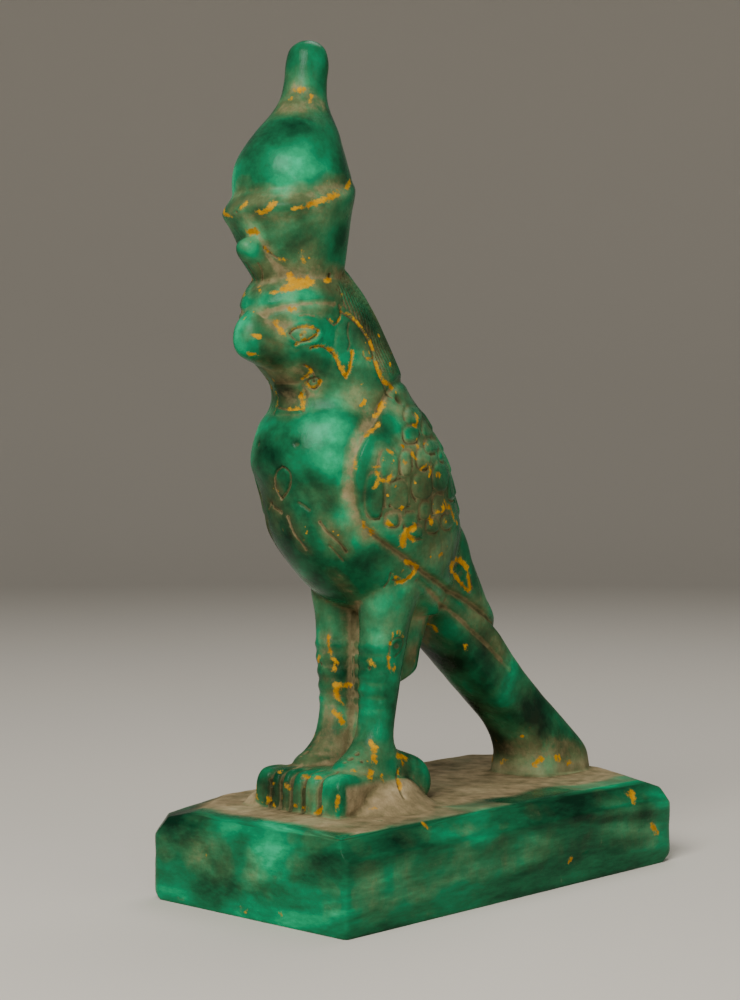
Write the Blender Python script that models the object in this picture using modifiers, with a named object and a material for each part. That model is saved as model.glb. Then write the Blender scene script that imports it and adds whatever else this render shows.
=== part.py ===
"""Falcon god statue: a falcon in the double crown, carved with its plinth from one block of green stone.

Metres, +Z up. The falcon looks along -Y and the origin is the middle of the plinth's underside.
"""

import math

import bmesh
import bpy
import numpy as np

# Driving dimensions, in metres
FIGURE_HEIGHT = 0.178
PLINTH_HEIGHT = 0.022
PLINTH_WIDTH = 0.0645
FRONT_LEDGE = 0.0165
REAR_LEDGE = 0.0026
TOP_EDGE_RADIUS = 0.0042
NEAR_CORNER_RADIUS = 0.0012
FAR_CORNER_RADIUS = 0.0038
FOOT_EDGE_RADIUS = 0.0006
SIDE_CHAMFER_DROP = 0.0050
SIDE_CHAMFER_REACH = 0.0036
HAIR = 1e-6

# Cuts across the block's worn corners, as signs of X, Y and Z and how far each reaches along each edge
WORN_CORNERS = (
    ((-1.0, -1.0, 1.0), (0.0090, 0.0090, 0.0090)),
    ((-1.0, -1.0, 1.0), (0.0160, 0.0260, 0.0034)),
    ((1.0, 1.0, 1.0), (0.0090, 0.0090, 0.0090)),
    ((1.0, 1.0, 1.0), (0.0260, 0.0140, 0.0042)),
    ((-1.0, 1.0, 1.0), (0.0060, 0.0060, 0.0050)),
    ((-1.0, -1.0, -1.0), (0.0045, 0.0045, 0.0035)),
    ((1.0, 1.0, -1.0), (0.0050, 0.0060, 0.0040)),
)

# The figure is drawn in steps, each a 178th of its own height, and about a millimetre on the real
# piece. Heights are steps above the plinth's top, and y runs from the beak to the tail.
STEPS_HIGH = 178.0
STEP = FIGURE_HEIGHT / STEPS_HIGH
TOE_LINE = -45.4
TAIL_LINE = 59.0
PLINTH_LENGTH = FRONT_LEDGE + (TAIL_LINE - TOE_LINE) * STEP + REAR_LEDGE
FIGURE_SHIFT = FRONT_LEDGE - PLINTH_LENGTH / 2.0 - TOE_LINE * STEP

# Each row of a body is one ring of it: y, height, half width, half depth
WHITE_CROWN = (
    (-46.0, 134.0, 11.5, 11.5),
    (-46.0, 140.0, 13.4, 13.4),
    (-46.1, 145.0, 13.8, 13.8),
    (-46.2, 149.0, 12.9, 12.9),
    (-45.5, 153.0, 11.3, 11.3),
    (-44.2, 157.0, 9.3, 9.3),
    (-43.0, 161.0, 6.9, 6.9),
    (-42.2, 164.5, 5.5, 5.5),
    (-41.7, 168.5, 5.0, 5.0),
    (-41.2, 172.5, 5.0, 5.0),
    (-41.0, 175.8, 4.2, 4.2),
    (-40.8, 177.5, 2.4, 2.4),
    (-40.8, 178.0, 0.8, 0.8),
)
RED_CROWN = (
    (-44.2, 119.0, 9.4, 9.4),
    (-44.3, 123.0, 10.4, 10.4),
    (-44.9, 126.0, 11.5, 11.5),
    (-45.6, 130.0, 12.6, 12.6),
    (-46.4, 134.0, 13.9, 13.9),
    (-47.0, 136.6, 15.1, 15.1),
    (-47.0, 137.8, 15.2, 15.2),
    (-47.0, 138.6, 14.8, 14.8),
    (-46.8, 140.2, 13.9, 13.9),
    (-46.4, 141.8, 13.2, 13.2),
)
RIM_HEIGHT = 137.8
RIM_RISE = 7.8
UPPER_SKULL = (
    (-44.0, 125.0, 7.0, 7.0),
    (-43.8, 122.5, 10.2, 11.0),
    (-44.0, 119.5, 11.4, 13.4),
    (-44.2, 116.5, 11.8, 14.6),
    (-44.3, 114.0, 11.4, 14.4),
)
SKULL = (
    (-43.5, 118.0, 9.0, 11.0),
    (-44.3, 115.0, 11.2, 14.6),
    (-44.5, 110.0, 11.2, 14.7),
    (-43.3, 105.0, 10.9, 12.8),
    (-39.5, 100.0, 10.6, 10.6),
    (-36.0, 94.0, 11.0, 10.0),
)
BEAK = (
    (-50.0, 109.8, 8.4, 8.8),
    (-55.0, 110.0, 6.9, 7.6),
    (-59.0, 109.3, 4.9, 5.8),
    (-61.6, 108.6, 3.3, 4.2),
    (-62.8, 108.2, 1.6, 2.4),
)
WIG = (
    (-40.5, 125.0, 8.0, 9.5),
    (-39.0, 121.0, 10.5, 11.0),
    (-37.8, 117.0, 12.0, 13.0),
    (-36.0, 113.0, 12.8, 14.0),
    (-34.7, 109.0, 13.5, 15.0),
    (-33.3, 105.0, 14.3, 16.0),
    (-31.8, 101.0, 14.7, 16.8),
    (-30.0, 97.0, 15.2, 17.4),
    (-28.6, 93.0, 16.2, 18.4),
)
TORSO = (
    (-30.0, 97.0, 15.2, 16.8),
    (-29.0, 93.0, 16.6, 18.8),
    (-29.4, 89.0, 18.6, 21.2),
    (-27.6, 81.0, 20.6, 24.9),
    (-24.6, 73.0, 20.6, 24.7),
    (-22.2, 65.0, 19.8, 25.4),
    (-20.0, 59.0, 17.8, 23.6),
    (-17.2, 53.0, 15.8, 20.4),
    (-14.0, 48.0, 12.8, 16.4),
    (-9.6, 44.0, 9.0, 11.0),
)
TAIL = (
    (-12.0, 71.0, 9.0, 6.0),
    (-7.2, 65.0, 12.6, 8.6),
    (-2.6, 56.0, 12.2, 9.8),
    (3.2, 46.5, 10.8, 10.9),
    (15.2, 34.0, 8.8, 10.4),
    (28.4, 22.3, 7.8, 10.6),
    (39.0, 13.6, 7.8, 11.0),
    (45.3, 6.4, 8.8, 12.6),
    (46.0, 1.8, 9.8, 13.0),
    (46.0, -3.0, 10.0, 13.2),
)
TAIL_SQUARE = 3.4
LEG = (
    (-20.0, 58.0, 8.0, 10.5),
    (-21.5, 50.0, 7.0, 8.2),
    (-22.4, 43.0, 5.9, 6.4),
    (-23.2, 36.0, 5.3, 5.7),
    (-23.6, 30.0, 4.9, 5.1),
    (-24.0, 24.0, 4.7, 4.4),
    (-24.8, 19.0, 4.6, 4.2),
    (-25.6, 15.0, 4.6, 5.4),
    (-26.4, 12.2, 4.9, 8.0),
    (-27.0, 10.2, 5.2, 11.2),
    (-27.6, 6.0, 5.4, 12.0),
    (-27.6, -2.0, 5.4, 12.0),
)
ANKLE_SPREAD = 6.4
HIP_SPREAD = 8.0
VENT = (
    (-9.0, 52.0, 9.0, 9.0),
    (-12.0, 42.0, 8.0, 9.0),
    (-13.4, 36.0, 7.2, 8.4),
    (-14.0, 32.6, 7.0, 8.2),
    (-14.4, 30.6, 6.7, 8.0),
    (-16.2, 28.8, 6.2, 6.0),
    (-18.6, 27.6, 5.2, 3.4),
)
SNAKE = (
    (-49.6, 116.6, 4.6, 3.4),
    (-51.4, 120.6, 4.6, 3.6),
    (-53.4, 122.8, 4.2, 3.8),
    (-56.0, 125.3, 3.7, 3.9),
    (-57.9, 126.8, 3.3, 3.8),
    (-59.0, 128.3, 3.1, 3.6),
    (-59.2, 129.9, 2.7, 3.1),
    (-58.4, 131.2, 1.7, 2.1),
)
HALLUX = (
    (-22.0, 6.0, 4.4, 8.6),
    (-17.5, 5.6, 4.3, 6.8),
    (-12.5, 5.0, 4.2, 5.8),
    (-9.6, 4.4, 3.8, 4.9),
    (-8.0, 4.0, 2.6, 3.6),
)
FEET = (
    (-20.0, 3.0, 10.6, 5.4),
    (-26.0, 3.9, 12.0, 5.6),
    (-34.0, 4.0, 13.0, 5.6),
    (-40.0, 3.9, 13.4, 5.5),
    (-43.0, 3.7, 13.3, 5.3),
    (-44.1, 3.5, 12.8, 4.8),
    (-44.5, 3.3, 12.2, 4.2),
)
FEET_SQUARE = 5.0
BANK = (
    (-26.0, -1.5, 25.0, 19.4),
    (-26.0, 0.1, 21.4, 18.2),
    (-26.0, 1.6, 18.4, 16.9),
    (-25.8, 3.4, 16.4, 15.6),
    (-25.4, 5.2, 14.6, 14.0),
    (-25.0, 6.6, 12.4, 12.0),
    (-25.0, 7.3, 9.0, 9.0),
)
WEB = (
    (-19.0, 50.0, 4.6, 5.0),
    (-21.6, 40.0, 3.2, 2.6),
    (-22.6, 25.0, 2.6, 1.7),
    (-23.6, 12.0, 2.8, 2.6),
    (-25.0, 4.0, 3.4, 5.0),
)
# The toes are short upright ribs across the front of the feet, each at its own place and half width
TOES = ((-10.9, 2.6), (-6.6, 1.7), (-3.3, 1.6), (0.4, 2.0), (4.8, 2.1), (11.2, 3.2))
TOE = (
    (-35.0, 3.6, 0.6, 4.6),
    (-39.0, 4.1, 0.9, 5.3),
    (-43.2, 4.0, 1.0, 5.3),
    (-44.7, 3.5, 0.94, 4.7),
    (-45.2, 3.0, 0.82, 4.0),
    (TOE_LINE, 2.6, 0.6, 3.2),
)
TOE_SQUARE = 2.6

# Carving seen from the side, as lines through (y, height). Each cut has a width and a depth.
WING_EDGE = (
    (-4.0, 95.0),
    (-13.0, 98.6),
    (-21.0, 100.0),
    (-26.5, 98.6),
    (-31.0, 95.4),
    (-36.6, 89.8),
    (-40.0, 85.8),
    (-42.0, 82.0),
    (-42.4, 78.0),
    (-41.4, 74.0),
    (-40.2, 70.0),
    (-38.6, 66.8),
    (-35.9, 64.3),
    (-32.2, 62.0),
    (-27.5, 59.5),
    (-19.6, 55.4),
    (-11.6, 52.2),
    (-0.9, 48.9),
    (9.8, 44.1),
    (22.0, 38.5),
)
WING_BACK = ((40.0, 70.0), (20.0, 100.0))
WING_RAISE = 0.9
# The valley in front of the wing and the cut under it: how far outside the edge, a width and a depth
WING_VALLEY = (1.6, 4.0, 0.9)
WING_CUT = (0.2, 1.9, 0.75)
WING_TURN = (-38.5, -34.0)
SHOULDER = ((-43.6, 81.0), (-38.6, 84.0), (-33.6, 87.2), (-27.0, 93.6))
SHOULDER_FADE = (-2.0, 0.0)
FEATHERED = (1.2, 2.2)
COVERT_EDGE = ((-20.4, 53.0), (-12.7, 49.4), (-3.1, 45.2), (5.5, 40.2), (14.5, 34.6), (23.0, 28.6))
COVERT_CUT = (2.2, 0.45)
BROW = ((-58.6, 113.8), (-57.0, 114.9), (-54.2, 115.9), (-50.5, 116.4), (-46.6, 116.6), (-44.4, 116.4))
BROW_CUT = (2.0, 0.55)
MOUTH = ((-61.2, 108.6), (-59.4, 108.2), (-55.7, 107.0), (-52.6, 105.8))
MOUTH_CUT = (1.6, 0.22)
EYE_CENTRE = (-51.4, 109.6)
EYE_HALF_LENGTH = 3.3
EYE_HALF_HEIGHT = 2.0
EYE_TILT = 6.0
EYE_POINT = 1.4
EYE_BULGE = 0.35
LID_CUT = (1.4, 0.5)
CHEEK_MARK = (
    (-51.0, 106.4),
    (-47.5, 106.8),
    (-44.1, 105.4),
    (-42.6, 102.6),
    (-41.4, 99.6),
    (-40.0, 105.0),
    (-40.6, 110.5),
    (-42.0, 113.8),
)
CHEEK_CUT = (1.5, 0.5)
WIG_EDGE = ((-41.7, 115.5), (-39.0, 113.3), (-36.2, 110.6), (-34.4, 108.0), (-33.6, 104.6), (-32.2, 99.5))
WIG_CUT = (1.6, 0.55)

# The feathers: rows of scales over the shoulder, and long plumes below them
SCALE_PITCH = 5.6
SCALE_SIDES = 0.8
SCALE_RISE = 0.42
SCALE_LEAN = 14.0
SCALES_FROM = 93.0
SCALES_TO = 67.0
PLUME_LEAN = 20.0
PLUME_PITCH = 4.2
PLUME_WIDTH = 0.7
PLUME_DEPTH = 0.45

# Carving seen from the front, as lines through (x, height)
LOOP_CENTRE = (1.0, 75.8)
LOOP_HALF_WIDTH = 2.5
LOOP_HALF_HEIGHT = 4.0
LOOP_ARMS = (((-4.2, 70.4), (-1.0, 70.2)), ((3.4, 70.4), (6.4, 70.2)))
LOOP_STEM = ((1.4, 68.0), (1.8, 64.0), (2.2, 60.6))
LOOP_CUT = (1.5, 0.5)
BIB = (0.8, 95.2, 3.9, 3.4)
BIB_RAISE = 0.6

# Where each kind of carving fades in: heights, distance from the spine, and how far the skin faces
ABOVE_SHINS = (27.0, 31.0)
ABOVE_BELLY = (58.0, 60.0)
BELOW_THROAT = (100.0, 101.0)
OFF_SPINE = (4.0, 6.0)
FACING_SIDE = (0.2, 0.45)
FACING_FRONT = (0.3, 0.6)

RING_POINTS = 36
BETWEEN = 4
VOXEL = 0.62 * STEP
SMOOTH_PASSES = 3
TRIANGLES = 9600
FLAT_TRIM = 0.0003
STONE_GREEN = (0.010, 0.150, 0.065)
STONE_ROUGHNESS = 0.32


def smoothstep(low, high, value):
    share = np.clip((value - low) / (high - low), 0.0, 1.0)
    return share * share * (3.0 - 2.0 * share)


def squared(wave, square):
    """A sine or cosine whose ring grows squarer as the exponent climbs from 2."""
    return np.sign(wave) * np.abs(wave) ** (2.0 / square)


def eased(rows, between=BETWEEN):
    """The rows with smooth ones put in between, on a spline through them all."""
    rows = np.array(rows)
    padded = np.vstack([rows[:1], rows, rows[-1:]])
    parts = []
    for a, b, c, d in zip(padded, padded[1:], padded[2:], padded[3:]):
        for t in np.arange(between) / between:
            bend = (2.0 * a - 5.0 * b + 4.0 * c - d) * t**2 + (3.0 * b - a - 3.0 * c + d) * t**3
            parts.append(b + 0.5 * ((c - a) * t + bend))
    parts.append(rows[-1])
    return np.array(parts)


def ring(row, side=0.0, upright=False, square=2.0):
    """One closed ring of points for a loft: level, or upright and facing along Y."""
    y, z, half_width, half_depth = row
    turn = 2.0 * math.pi * np.arange(RING_POINTS) / RING_POINTS
    across = side + half_width * squared(np.cos(turn), square)
    along = half_depth * squared(np.sin(turn), square)
    if upright:
        points = np.column_stack([across, np.full(RING_POINTS, y), z + along])
    else:
        points = np.column_stack([across, y + along, np.full(RING_POINTS, z)])
    return points * STEP + np.array([0.0, FIGURE_SHIFT, PLINTH_HEIGHT])


def loft(mesh, rings):
    """Adds one closed skin through a stack of rings."""
    loops = [[mesh.verts.new(point) for point in points] for points in rings]
    for lower, upper in zip(loops, loops[1:]):
        for i in range(RING_POINTS):
            j = (i + 1) % RING_POINTS
            mesh.faces.new((lower[i], lower[j], upper[j], upper[i]))
    mesh.faces.new(loops[0][::-1])
    mesh.faces.new(loops[-1])


def level_body(mesh, rows, square=2.0):
    loft(mesh, [ring(row, square=square) for row in eased(rows)])


def upright_body(mesh, rows, side=0.0, square=2.0):
    loft(mesh, [ring(row, side, upright=True, square=square) for row in eased(rows)])


def red_crown(mesh):
    """The flaring cup, whose rim climbs towards the back."""
    rows = eased(RED_CROWN)
    lowest = rows[:, 1].min()
    rings = []
    for row in rows:
        points = ring(row)
        back = (points[:, 1] - points[:, 1].min()) / (2.0 * row[3] * STEP)
        share = min((row[1] - lowest) / (RIM_HEIGHT - lowest), 1.0)
        points[:, 2] += RIM_RISE * STEP * back**2 * share**2
        rings.append(points)
    loft(mesh, rings)


def leg(mesh, side):
    """Thigh, shin and instep of one leg, leaning in from the hip to the ankle."""
    rows = eased(LEG)
    top, ankle = LEG[0][1], LEG[5][1]
    rings = []
    for row in rows:
        out = np.interp(row[1], (ankle, top), (ANKLE_SPREAD, HIP_SPREAD))
        rings.append(ring(row, side * out))
    loft(mesh, rings)


def cut_off(block, point, normal):
    """Cuts a block along a plane, drops what lies outside and closes the cut."""
    geometry = block.verts[:] + block.edges[:] + block.faces[:]
    bmesh.ops.bisect_plane(block, geom=geometry, plane_co=point, plane_no=normal, clear_outer=True)
    bmesh.ops.holes_fill(block, edges=[e for e in block.edges if e.is_boundary])


def bevel_where(block, chosen, radius, segments):
    edges = [e for e in block.edges if all(chosen(v.co) for v in e.verts)]
    bmesh.ops.bevel(block, geom=edges, offset=radius, segments=segments, profile=0.5, affect="EDGES")


def plinth(mesh):
    """The block under the feet, with rounded edges, one chamfered long side and worn corners."""
    block = bmesh.new()
    size = np.array([PLINTH_WIDTH, PLINTH_LENGTH, PLINTH_HEIGHT])
    bmesh.ops.create_cube(block, size=1.0)
    bmesh.ops.scale(block, vec=size, verts=block.verts)
    bmesh.ops.translate(block, vec=(0.0, 0.0, PLINTH_HEIGHT / 2.0), verts=block.verts)
    half_long = PLINTH_LENGTH / 2.0 - HAIR
    bevel_where(block, lambda co: co.x > 0.0 and co.y < 0.0, NEAR_CORNER_RADIUS, 3)
    bevel_where(block, lambda co: co.x < 0.0 and co.y < -half_long, FAR_CORNER_RADIUS, 4)
    bevel_where(block, lambda co: co.x < 0.0 and co.y > half_long, FAR_CORNER_RADIUS, 4)
    bevel_where(block, lambda co: co.x > 0.0 and co.y > half_long, FAR_CORNER_RADIUS, 4)
    top, front, right = PLINTH_HEIGHT - HAIR, -0.45 * PLINTH_LENGTH, 0.25 * PLINTH_WIDTH
    bevel_where(block, lambda co: co.z > top and (co.x > right or co.y < front), TOP_EDGE_RADIUS, 4)
    bevel_where(block, lambda co: co.z < HAIR, FOOT_EDGE_RADIUS, 2)
    chamfer_foot = (PLINTH_WIDTH / 2.0, 0.0, PLINTH_HEIGHT - SIDE_CHAMFER_DROP)
    cut_off(block, chamfer_foot, (SIDE_CHAMFER_DROP, 0.0, SIDE_CHAMFER_REACH))
    for signs, reach in WORN_CORNERS:
        signs, reach = np.array(signs), np.array(reach)
        corner = signs * size / 2.0 + np.array([0.0, 0.0, PLINTH_HEIGHT / 2.0])
        corner[0] -= signs[0] * reach[0]
        cut_off(block, corner, signs / reach)
    held = bpy.data.meshes.new("plinth_block")
    block.to_mesh(held)
    block.free()
    mesh.from_mesh(held)
    bpy.data.meshes.remove(held)


def masses():
    """All the rough masses of the carving, overlapping, in one mesh."""
    mesh = bmesh.new()
    plinth(mesh)
    for rows in (WHITE_CROWN, UPPER_SKULL, SKULL, WIG, TORSO, VENT, WEB, SNAKE, BANK):
        level_body(mesh, rows)
    level_body(mesh, TAIL, TAIL_SQUARE)
    red_crown(mesh)
    upright_body(mesh, BEAK)
    upright_body(mesh, FEET, square=FEET_SQUARE)
    for side in (-1.0, 1.0):
        leg(mesh, side)
        upright_body(mesh, HALLUX, side * ANKLE_SPREAD)
    for x, half_width in TOES:
        rows = [(y, height, half_width * share, half_high) for y, height, share, half_high in TOE]
        upright_body(mesh, rows, x, TOE_SQUARE)
    bmesh.ops.recalc_face_normals(mesh, faces=mesh.faces)
    held = bpy.data.meshes.new("masses")
    mesh.to_mesh(held)
    mesh.free()
    return held


def distance_to_line(points, line):
    """How far each 2-D point is from a line through the given places."""
    nearest = np.full(len(points), np.inf)
    for a, b in zip(line, line[1:]):
        run = b - a
        along = np.clip(((points - a) @ run) / max(run @ run, 1e-12), 0.0, 1.0)
        nearest = np.minimum(nearest, np.linalg.norm(points - a - along[:, None] * run, axis=1))
    return nearest


def inside(points, outline):
    """Whether each 2-D point is inside a closed outline."""
    result = np.zeros(len(points), bool)
    for a, b in zip(outline, np.roll(outline, -1, axis=0)):
        crosses = (a[1] > points[:, 1]) != (b[1] > points[:, 1])
        rise = b[1] - a[1] if b[1] != a[1] else 1.0
        result ^= crosses & (points[:, 0] < a[0] + (b[0] - a[0]) * (points[:, 1] - a[1]) / rise)
    return result


def past_line(points, line):
    """How far above a line, given from left to right, each 2-D point lies."""
    line = np.array(line)
    return points[:, 1] - np.interp(points[:, 0], line[:, 0], line[:, 1])


def groove(points, line, cut):
    """A cut with a round bottom along a line."""
    width, depth = cut
    away = np.clip(distance_to_line(points, np.array(line)) / (width / 2.0), 0.0, 1.0)
    return -depth * 0.5 * (1.0 + np.cos(math.pi * away))


def oval(centre, half_wide, half_high, tilt=0.0, pointed=1.0, count=28):
    """A closed oval outline; a power over 1 draws its ends out like an almond."""
    turn = 2.0 * math.pi * np.arange(count + 1) / count
    across = half_wide * np.cos(turn)
    up = half_high * np.sign(np.sin(turn)) * np.abs(np.sin(turn)) ** pointed
    lean = math.radians(tilt)
    x = centre[0] + across * math.cos(lean) - up * math.sin(lean)
    z = centre[1] + across * math.sin(lean) + up * math.cos(lean)
    return np.column_stack([x, z])


def scale_feathers(side_view):
    """Overlapping U-shaped scales in staggered rows, each highest at its tip."""
    lean = math.radians(SCALE_LEAN)
    across = side_view[:, 0] * math.cos(lean) + side_view[:, 1] * math.sin(lean)
    down = (SCALES_FROM - side_view[:, 1]) * math.cos(lean) + side_view[:, 0] * math.sin(lean)
    half = SCALE_PITCH / 2.0
    height = np.zeros(len(side_view))
    bare = np.ones(len(side_view), bool)
    for behind in (-1.0, 0.0, 1.0):
        tier = np.floor(down / SCALE_PITCH) + behind
        offset = np.where(tier % 2.0 == 0.0, 0.0, half)
        off_centre = (across - offset + half) % SCALE_PITCH - half
        run = down - tier * SCALE_PITCH
        tip = SCALE_PITCH * SCALE_SIDES + np.sqrt(np.clip(half**2 - off_centre**2, 0.0, None))
        covers = bare & (run < tip)
        height[covers] = SCALE_RISE * (run[covers] / SCALE_PITCH + 1.0 - SCALE_SIDES)
        bare &= ~covers
    return height


def plumes(side_view):
    """Long feathers that run down towards the wing's tip."""
    lean = math.radians(PLUME_LEAN)
    across = side_view[:, 0] * math.cos(lean) + side_view[:, 1] * math.sin(lean)
    off_centre = (across % PLUME_PITCH) - PLUME_PITCH / 2.0
    return -PLUME_DEPTH * np.exp(-((off_centre / PLUME_WIDTH) ** 2))


def wings(side_view, flank):
    """The folded wing: a raised panel behind a worn valley, with feathers inside."""
    edge = eased(WING_EDGE)
    outline = np.vstack([edge, WING_BACK])
    away = distance_to_line(side_view, edge)
    within = inside(side_view, outline)
    panel = np.where(within, away, -away)
    relief = WING_RAISE * smoothstep(-0.5, 0.7, panel)
    low = smoothstep(*WING_TURN, side_view[:, 0])
    for (outward, width, depth), share in ((WING_VALLEY, 1.0 - low), (WING_CUT, low)):
        relief -= share * depth * np.exp(-(((panel + outward) / (width / 2.0)) ** 2))
    plain = smoothstep(*SHOULDER_FADE, past_line(side_view, SHOULDER))
    feathered = smoothstep(*FEATHERED, panel) * (1.0 - plain)
    high = smoothstep(SCALES_TO - 1.0, SCALES_TO + 1.0, side_view[:, 1])
    relief += feathered * (high * scale_feathers(side_view) + (1.0 - high) * plumes(side_view))
    relief += groove(side_view, COVERT_EDGE, COVERT_CUT)
    return relief * flank


def face(side_view, flank):
    """Brow, eye, beak slit, cheek mark and the wig's edge."""
    relief = groove(side_view, eased(BROW), BROW_CUT)
    relief += groove(side_view, eased(MOUTH), MOUTH_CUT)
    relief += groove(side_view, CHEEK_MARK, CHEEK_CUT)
    relief += groove(side_view, eased(WIG_EDGE), WIG_CUT)
    lid = oval(EYE_CENTRE, EYE_HALF_LENGTH, EYE_HALF_HEIGHT, EYE_TILT, EYE_POINT)
    relief += groove(side_view, lid, LID_CUT)
    ball = np.linalg.norm((side_view - EYE_CENTRE) / (EYE_HALF_LENGTH, EYE_HALF_HEIGHT), axis=1)
    relief += EYE_BULGE * (1.0 - smoothstep(0.0, 0.9, ball))
    return relief * flank


def breast(front_view, facing):
    """The looped sign cut into the breast, and the bib under the beak."""
    relief = groove(front_view, oval(LOOP_CENTRE, LOOP_HALF_WIDTH, LOOP_HALF_HEIGHT), LOOP_CUT)
    for line in (*LOOP_ARMS, LOOP_STEM):
        relief += groove(front_view, line, LOOP_CUT)
    x, z, half_width, half_height = BIB
    away = np.maximum(np.abs(front_view[:, 0] - x) - half_width, np.abs(front_view[:, 1] - z) - half_height)
    relief += BIB_RAISE * (1.0 - smoothstep(-0.5, 0.5, away))
    return relief * facing


def carve(mesh):
    """Moves the skin in and out along its normals, where the carving lies."""
    count = len(mesh.vertices)
    place = np.empty(count * 3, np.float32)
    normal = np.empty(count * 3, np.float32)
    mesh.vertices.foreach_get("co", place)
    mesh.vertices.foreach_get("normal", normal)
    place = place.reshape(-1, 3).astype(float)
    normal = normal.reshape(-1, 3).astype(float)
    steps = (place - (0.0, FIGURE_SHIFT, PLINTH_HEIGHT)) / STEP
    side_view = steps[:, 1:]
    front_view = steps[:, (0, 2)]
    height = steps[:, 2]
    flank = smoothstep(*FACING_SIDE, np.abs(normal[:, 0])) * smoothstep(*ABOVE_SHINS, height)
    facing = smoothstep(*FACING_FRONT, -normal[:, 1]) * smoothstep(*ABOVE_BELLY, height)
    facing *= 1.0 - smoothstep(*BELOW_THROAT, height)
    relief = wings(side_view, flank * smoothstep(*OFF_SPINE, np.abs(steps[:, 0])))
    relief += face(side_view, flank)
    relief += breast(front_view, facing)
    place += normal * (relief * STEP)[:, None]
    mesh.vertices.foreach_set("co", np.round(place, 7).astype(np.float32).ravel())
    mesh.update()


def evaluated(obj):
    """The object's mesh with its modifiers applied."""
    bpy.context.view_layer.update()
    graph = bpy.context.evaluated_depsgraph_get()
    return bpy.data.meshes.new_from_object(obj.evaluated_get(graph))


def flat_underside(mesh):
    """Trims a hair off the bottom, so that the statue stands on one true plane."""
    block = bmesh.new()
    block.from_mesh(mesh)
    cut_off(block, (0.0, 0.0, FLAT_TRIM), (0.0, 0.0, -1.0))
    bmesh.ops.translate(block, vec=(0.0, 0.0, -FLAT_TRIM), verts=block.verts)
    bmesh.ops.triangulate(block, faces=[f for f in block.faces if len(f.verts) > 4])
    block.to_mesh(mesh)
    block.free()


def stone():
    material = bpy.data.materials.new("polished_green_stone")
    material.use_nodes = True
    shader = material.node_tree.nodes["Principled BSDF"]
    shader.inputs["Base Color"].default_value = (*STONE_GREEN, 1.0)
    shader.inputs["Roughness"].default_value = STONE_ROUGHNESS
    shader.inputs["Metallic"].default_value = 0.0
    return material


def falcon(collection):
    """The whole carving: masses skinned as one, softened, carved and brought down to plain facets."""
    rough = bpy.data.objects.new("rough_block", masses())
    collection.objects.link(rough)
    skin = rough.modifiers.new("skin", "REMESH")
    skin.mode = "VOXEL"
    skin.voxel_size = VOXEL
    soften = rough.modifiers.new("soften", "SMOOTH")
    soften.iterations = SMOOTH_PASSES
    carved = evaluated(rough)
    carve(carved)
    rough.modifiers.clear()
    rough.data = carved
    facets = rough.modifiers.new("facets", "DECIMATE")
    carved.calc_loop_triangles()
    facets.ratio = TRIANGLES / len(carved.loop_triangles)
    facets.use_collapse_triangulate = True
    faceted = evaluated(rough)
    bpy.data.objects.remove(rough)
    flat_underside(faceted)
    statue = bpy.data.objects.new("falcon_statue", faceted)
    faceted.materials.append(stone())
    faceted.shade_smooth()
    faceted.set_sharp_from_angle(angle=math.radians(40.0))
    collection.objects.link(statue)


def main():
    for old in list(bpy.data.objects):
        bpy.data.objects.remove(old)
    collection = bpy.data.collections.new("falcon_god_statue")
    bpy.context.scene.collection.children.link(collection)
    falcon(collection)


main()
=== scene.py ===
import math

import bmesh
import bpy
import numpy as np
from mathutils import Matrix, Vector
from mathutils.bvhtree import BVHTree


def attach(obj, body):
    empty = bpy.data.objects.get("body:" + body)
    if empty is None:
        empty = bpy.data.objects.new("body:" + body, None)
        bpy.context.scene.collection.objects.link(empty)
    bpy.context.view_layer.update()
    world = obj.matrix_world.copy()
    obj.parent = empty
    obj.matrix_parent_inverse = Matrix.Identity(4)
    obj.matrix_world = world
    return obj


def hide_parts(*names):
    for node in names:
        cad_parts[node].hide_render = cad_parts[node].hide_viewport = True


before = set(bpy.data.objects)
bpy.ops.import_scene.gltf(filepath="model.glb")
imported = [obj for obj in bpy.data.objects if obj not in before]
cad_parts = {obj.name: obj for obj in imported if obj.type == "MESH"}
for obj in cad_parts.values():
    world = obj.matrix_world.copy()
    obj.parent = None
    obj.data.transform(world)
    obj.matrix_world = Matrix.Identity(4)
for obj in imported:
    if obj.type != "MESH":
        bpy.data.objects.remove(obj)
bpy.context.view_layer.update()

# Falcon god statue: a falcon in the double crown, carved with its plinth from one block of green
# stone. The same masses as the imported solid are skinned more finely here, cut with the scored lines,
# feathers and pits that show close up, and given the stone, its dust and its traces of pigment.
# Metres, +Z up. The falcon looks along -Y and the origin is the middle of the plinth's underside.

# The camera, fitted to the plinth's edges in the photograph, whose frame is 740 x 1000
FRAME_WIDTH = 740
FRAME_HEIGHT = 1000
FOCAL = 2000.0
VIEW_AZIMUTH = 41.45
VIEW_YAW = 1.56
VIEW_PITCH = -0.8
VIEW_DISTANCE = 0.4933
VIEW_HEIGHT = 0.1002

# Driving dimensions, in metres
FIGURE_HEIGHT = 0.178
PLINTH_HEIGHT = 0.022
PLINTH_WIDTH = 0.0645
FRONT_LEDGE = 0.0165
REAR_LEDGE = 0.0026
TOP_EDGE_RADIUS = 0.0042
NEAR_CORNER_RADIUS = 0.0012
FAR_CORNER_RADIUS = 0.0038
FAR_CORNERS = ((-1.0, -1.0), (-1.0, 1.0), (1.0, 1.0))
FOOT_EDGE_RADIUS = 0.0006
SIDE_CHAMFER_DROP = 0.0050
SIDE_CHAMFER_REACH = 0.0036
HAIR = 1e-6
# The top edges are rounded on the near side and the front, past these shares of the width and length
ROUNDED_FROM = (0.25, -0.45)
NEAR_SEGMENTS = 4
SEGMENTS = 6
FOOT_SEGMENTS = 2

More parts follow.
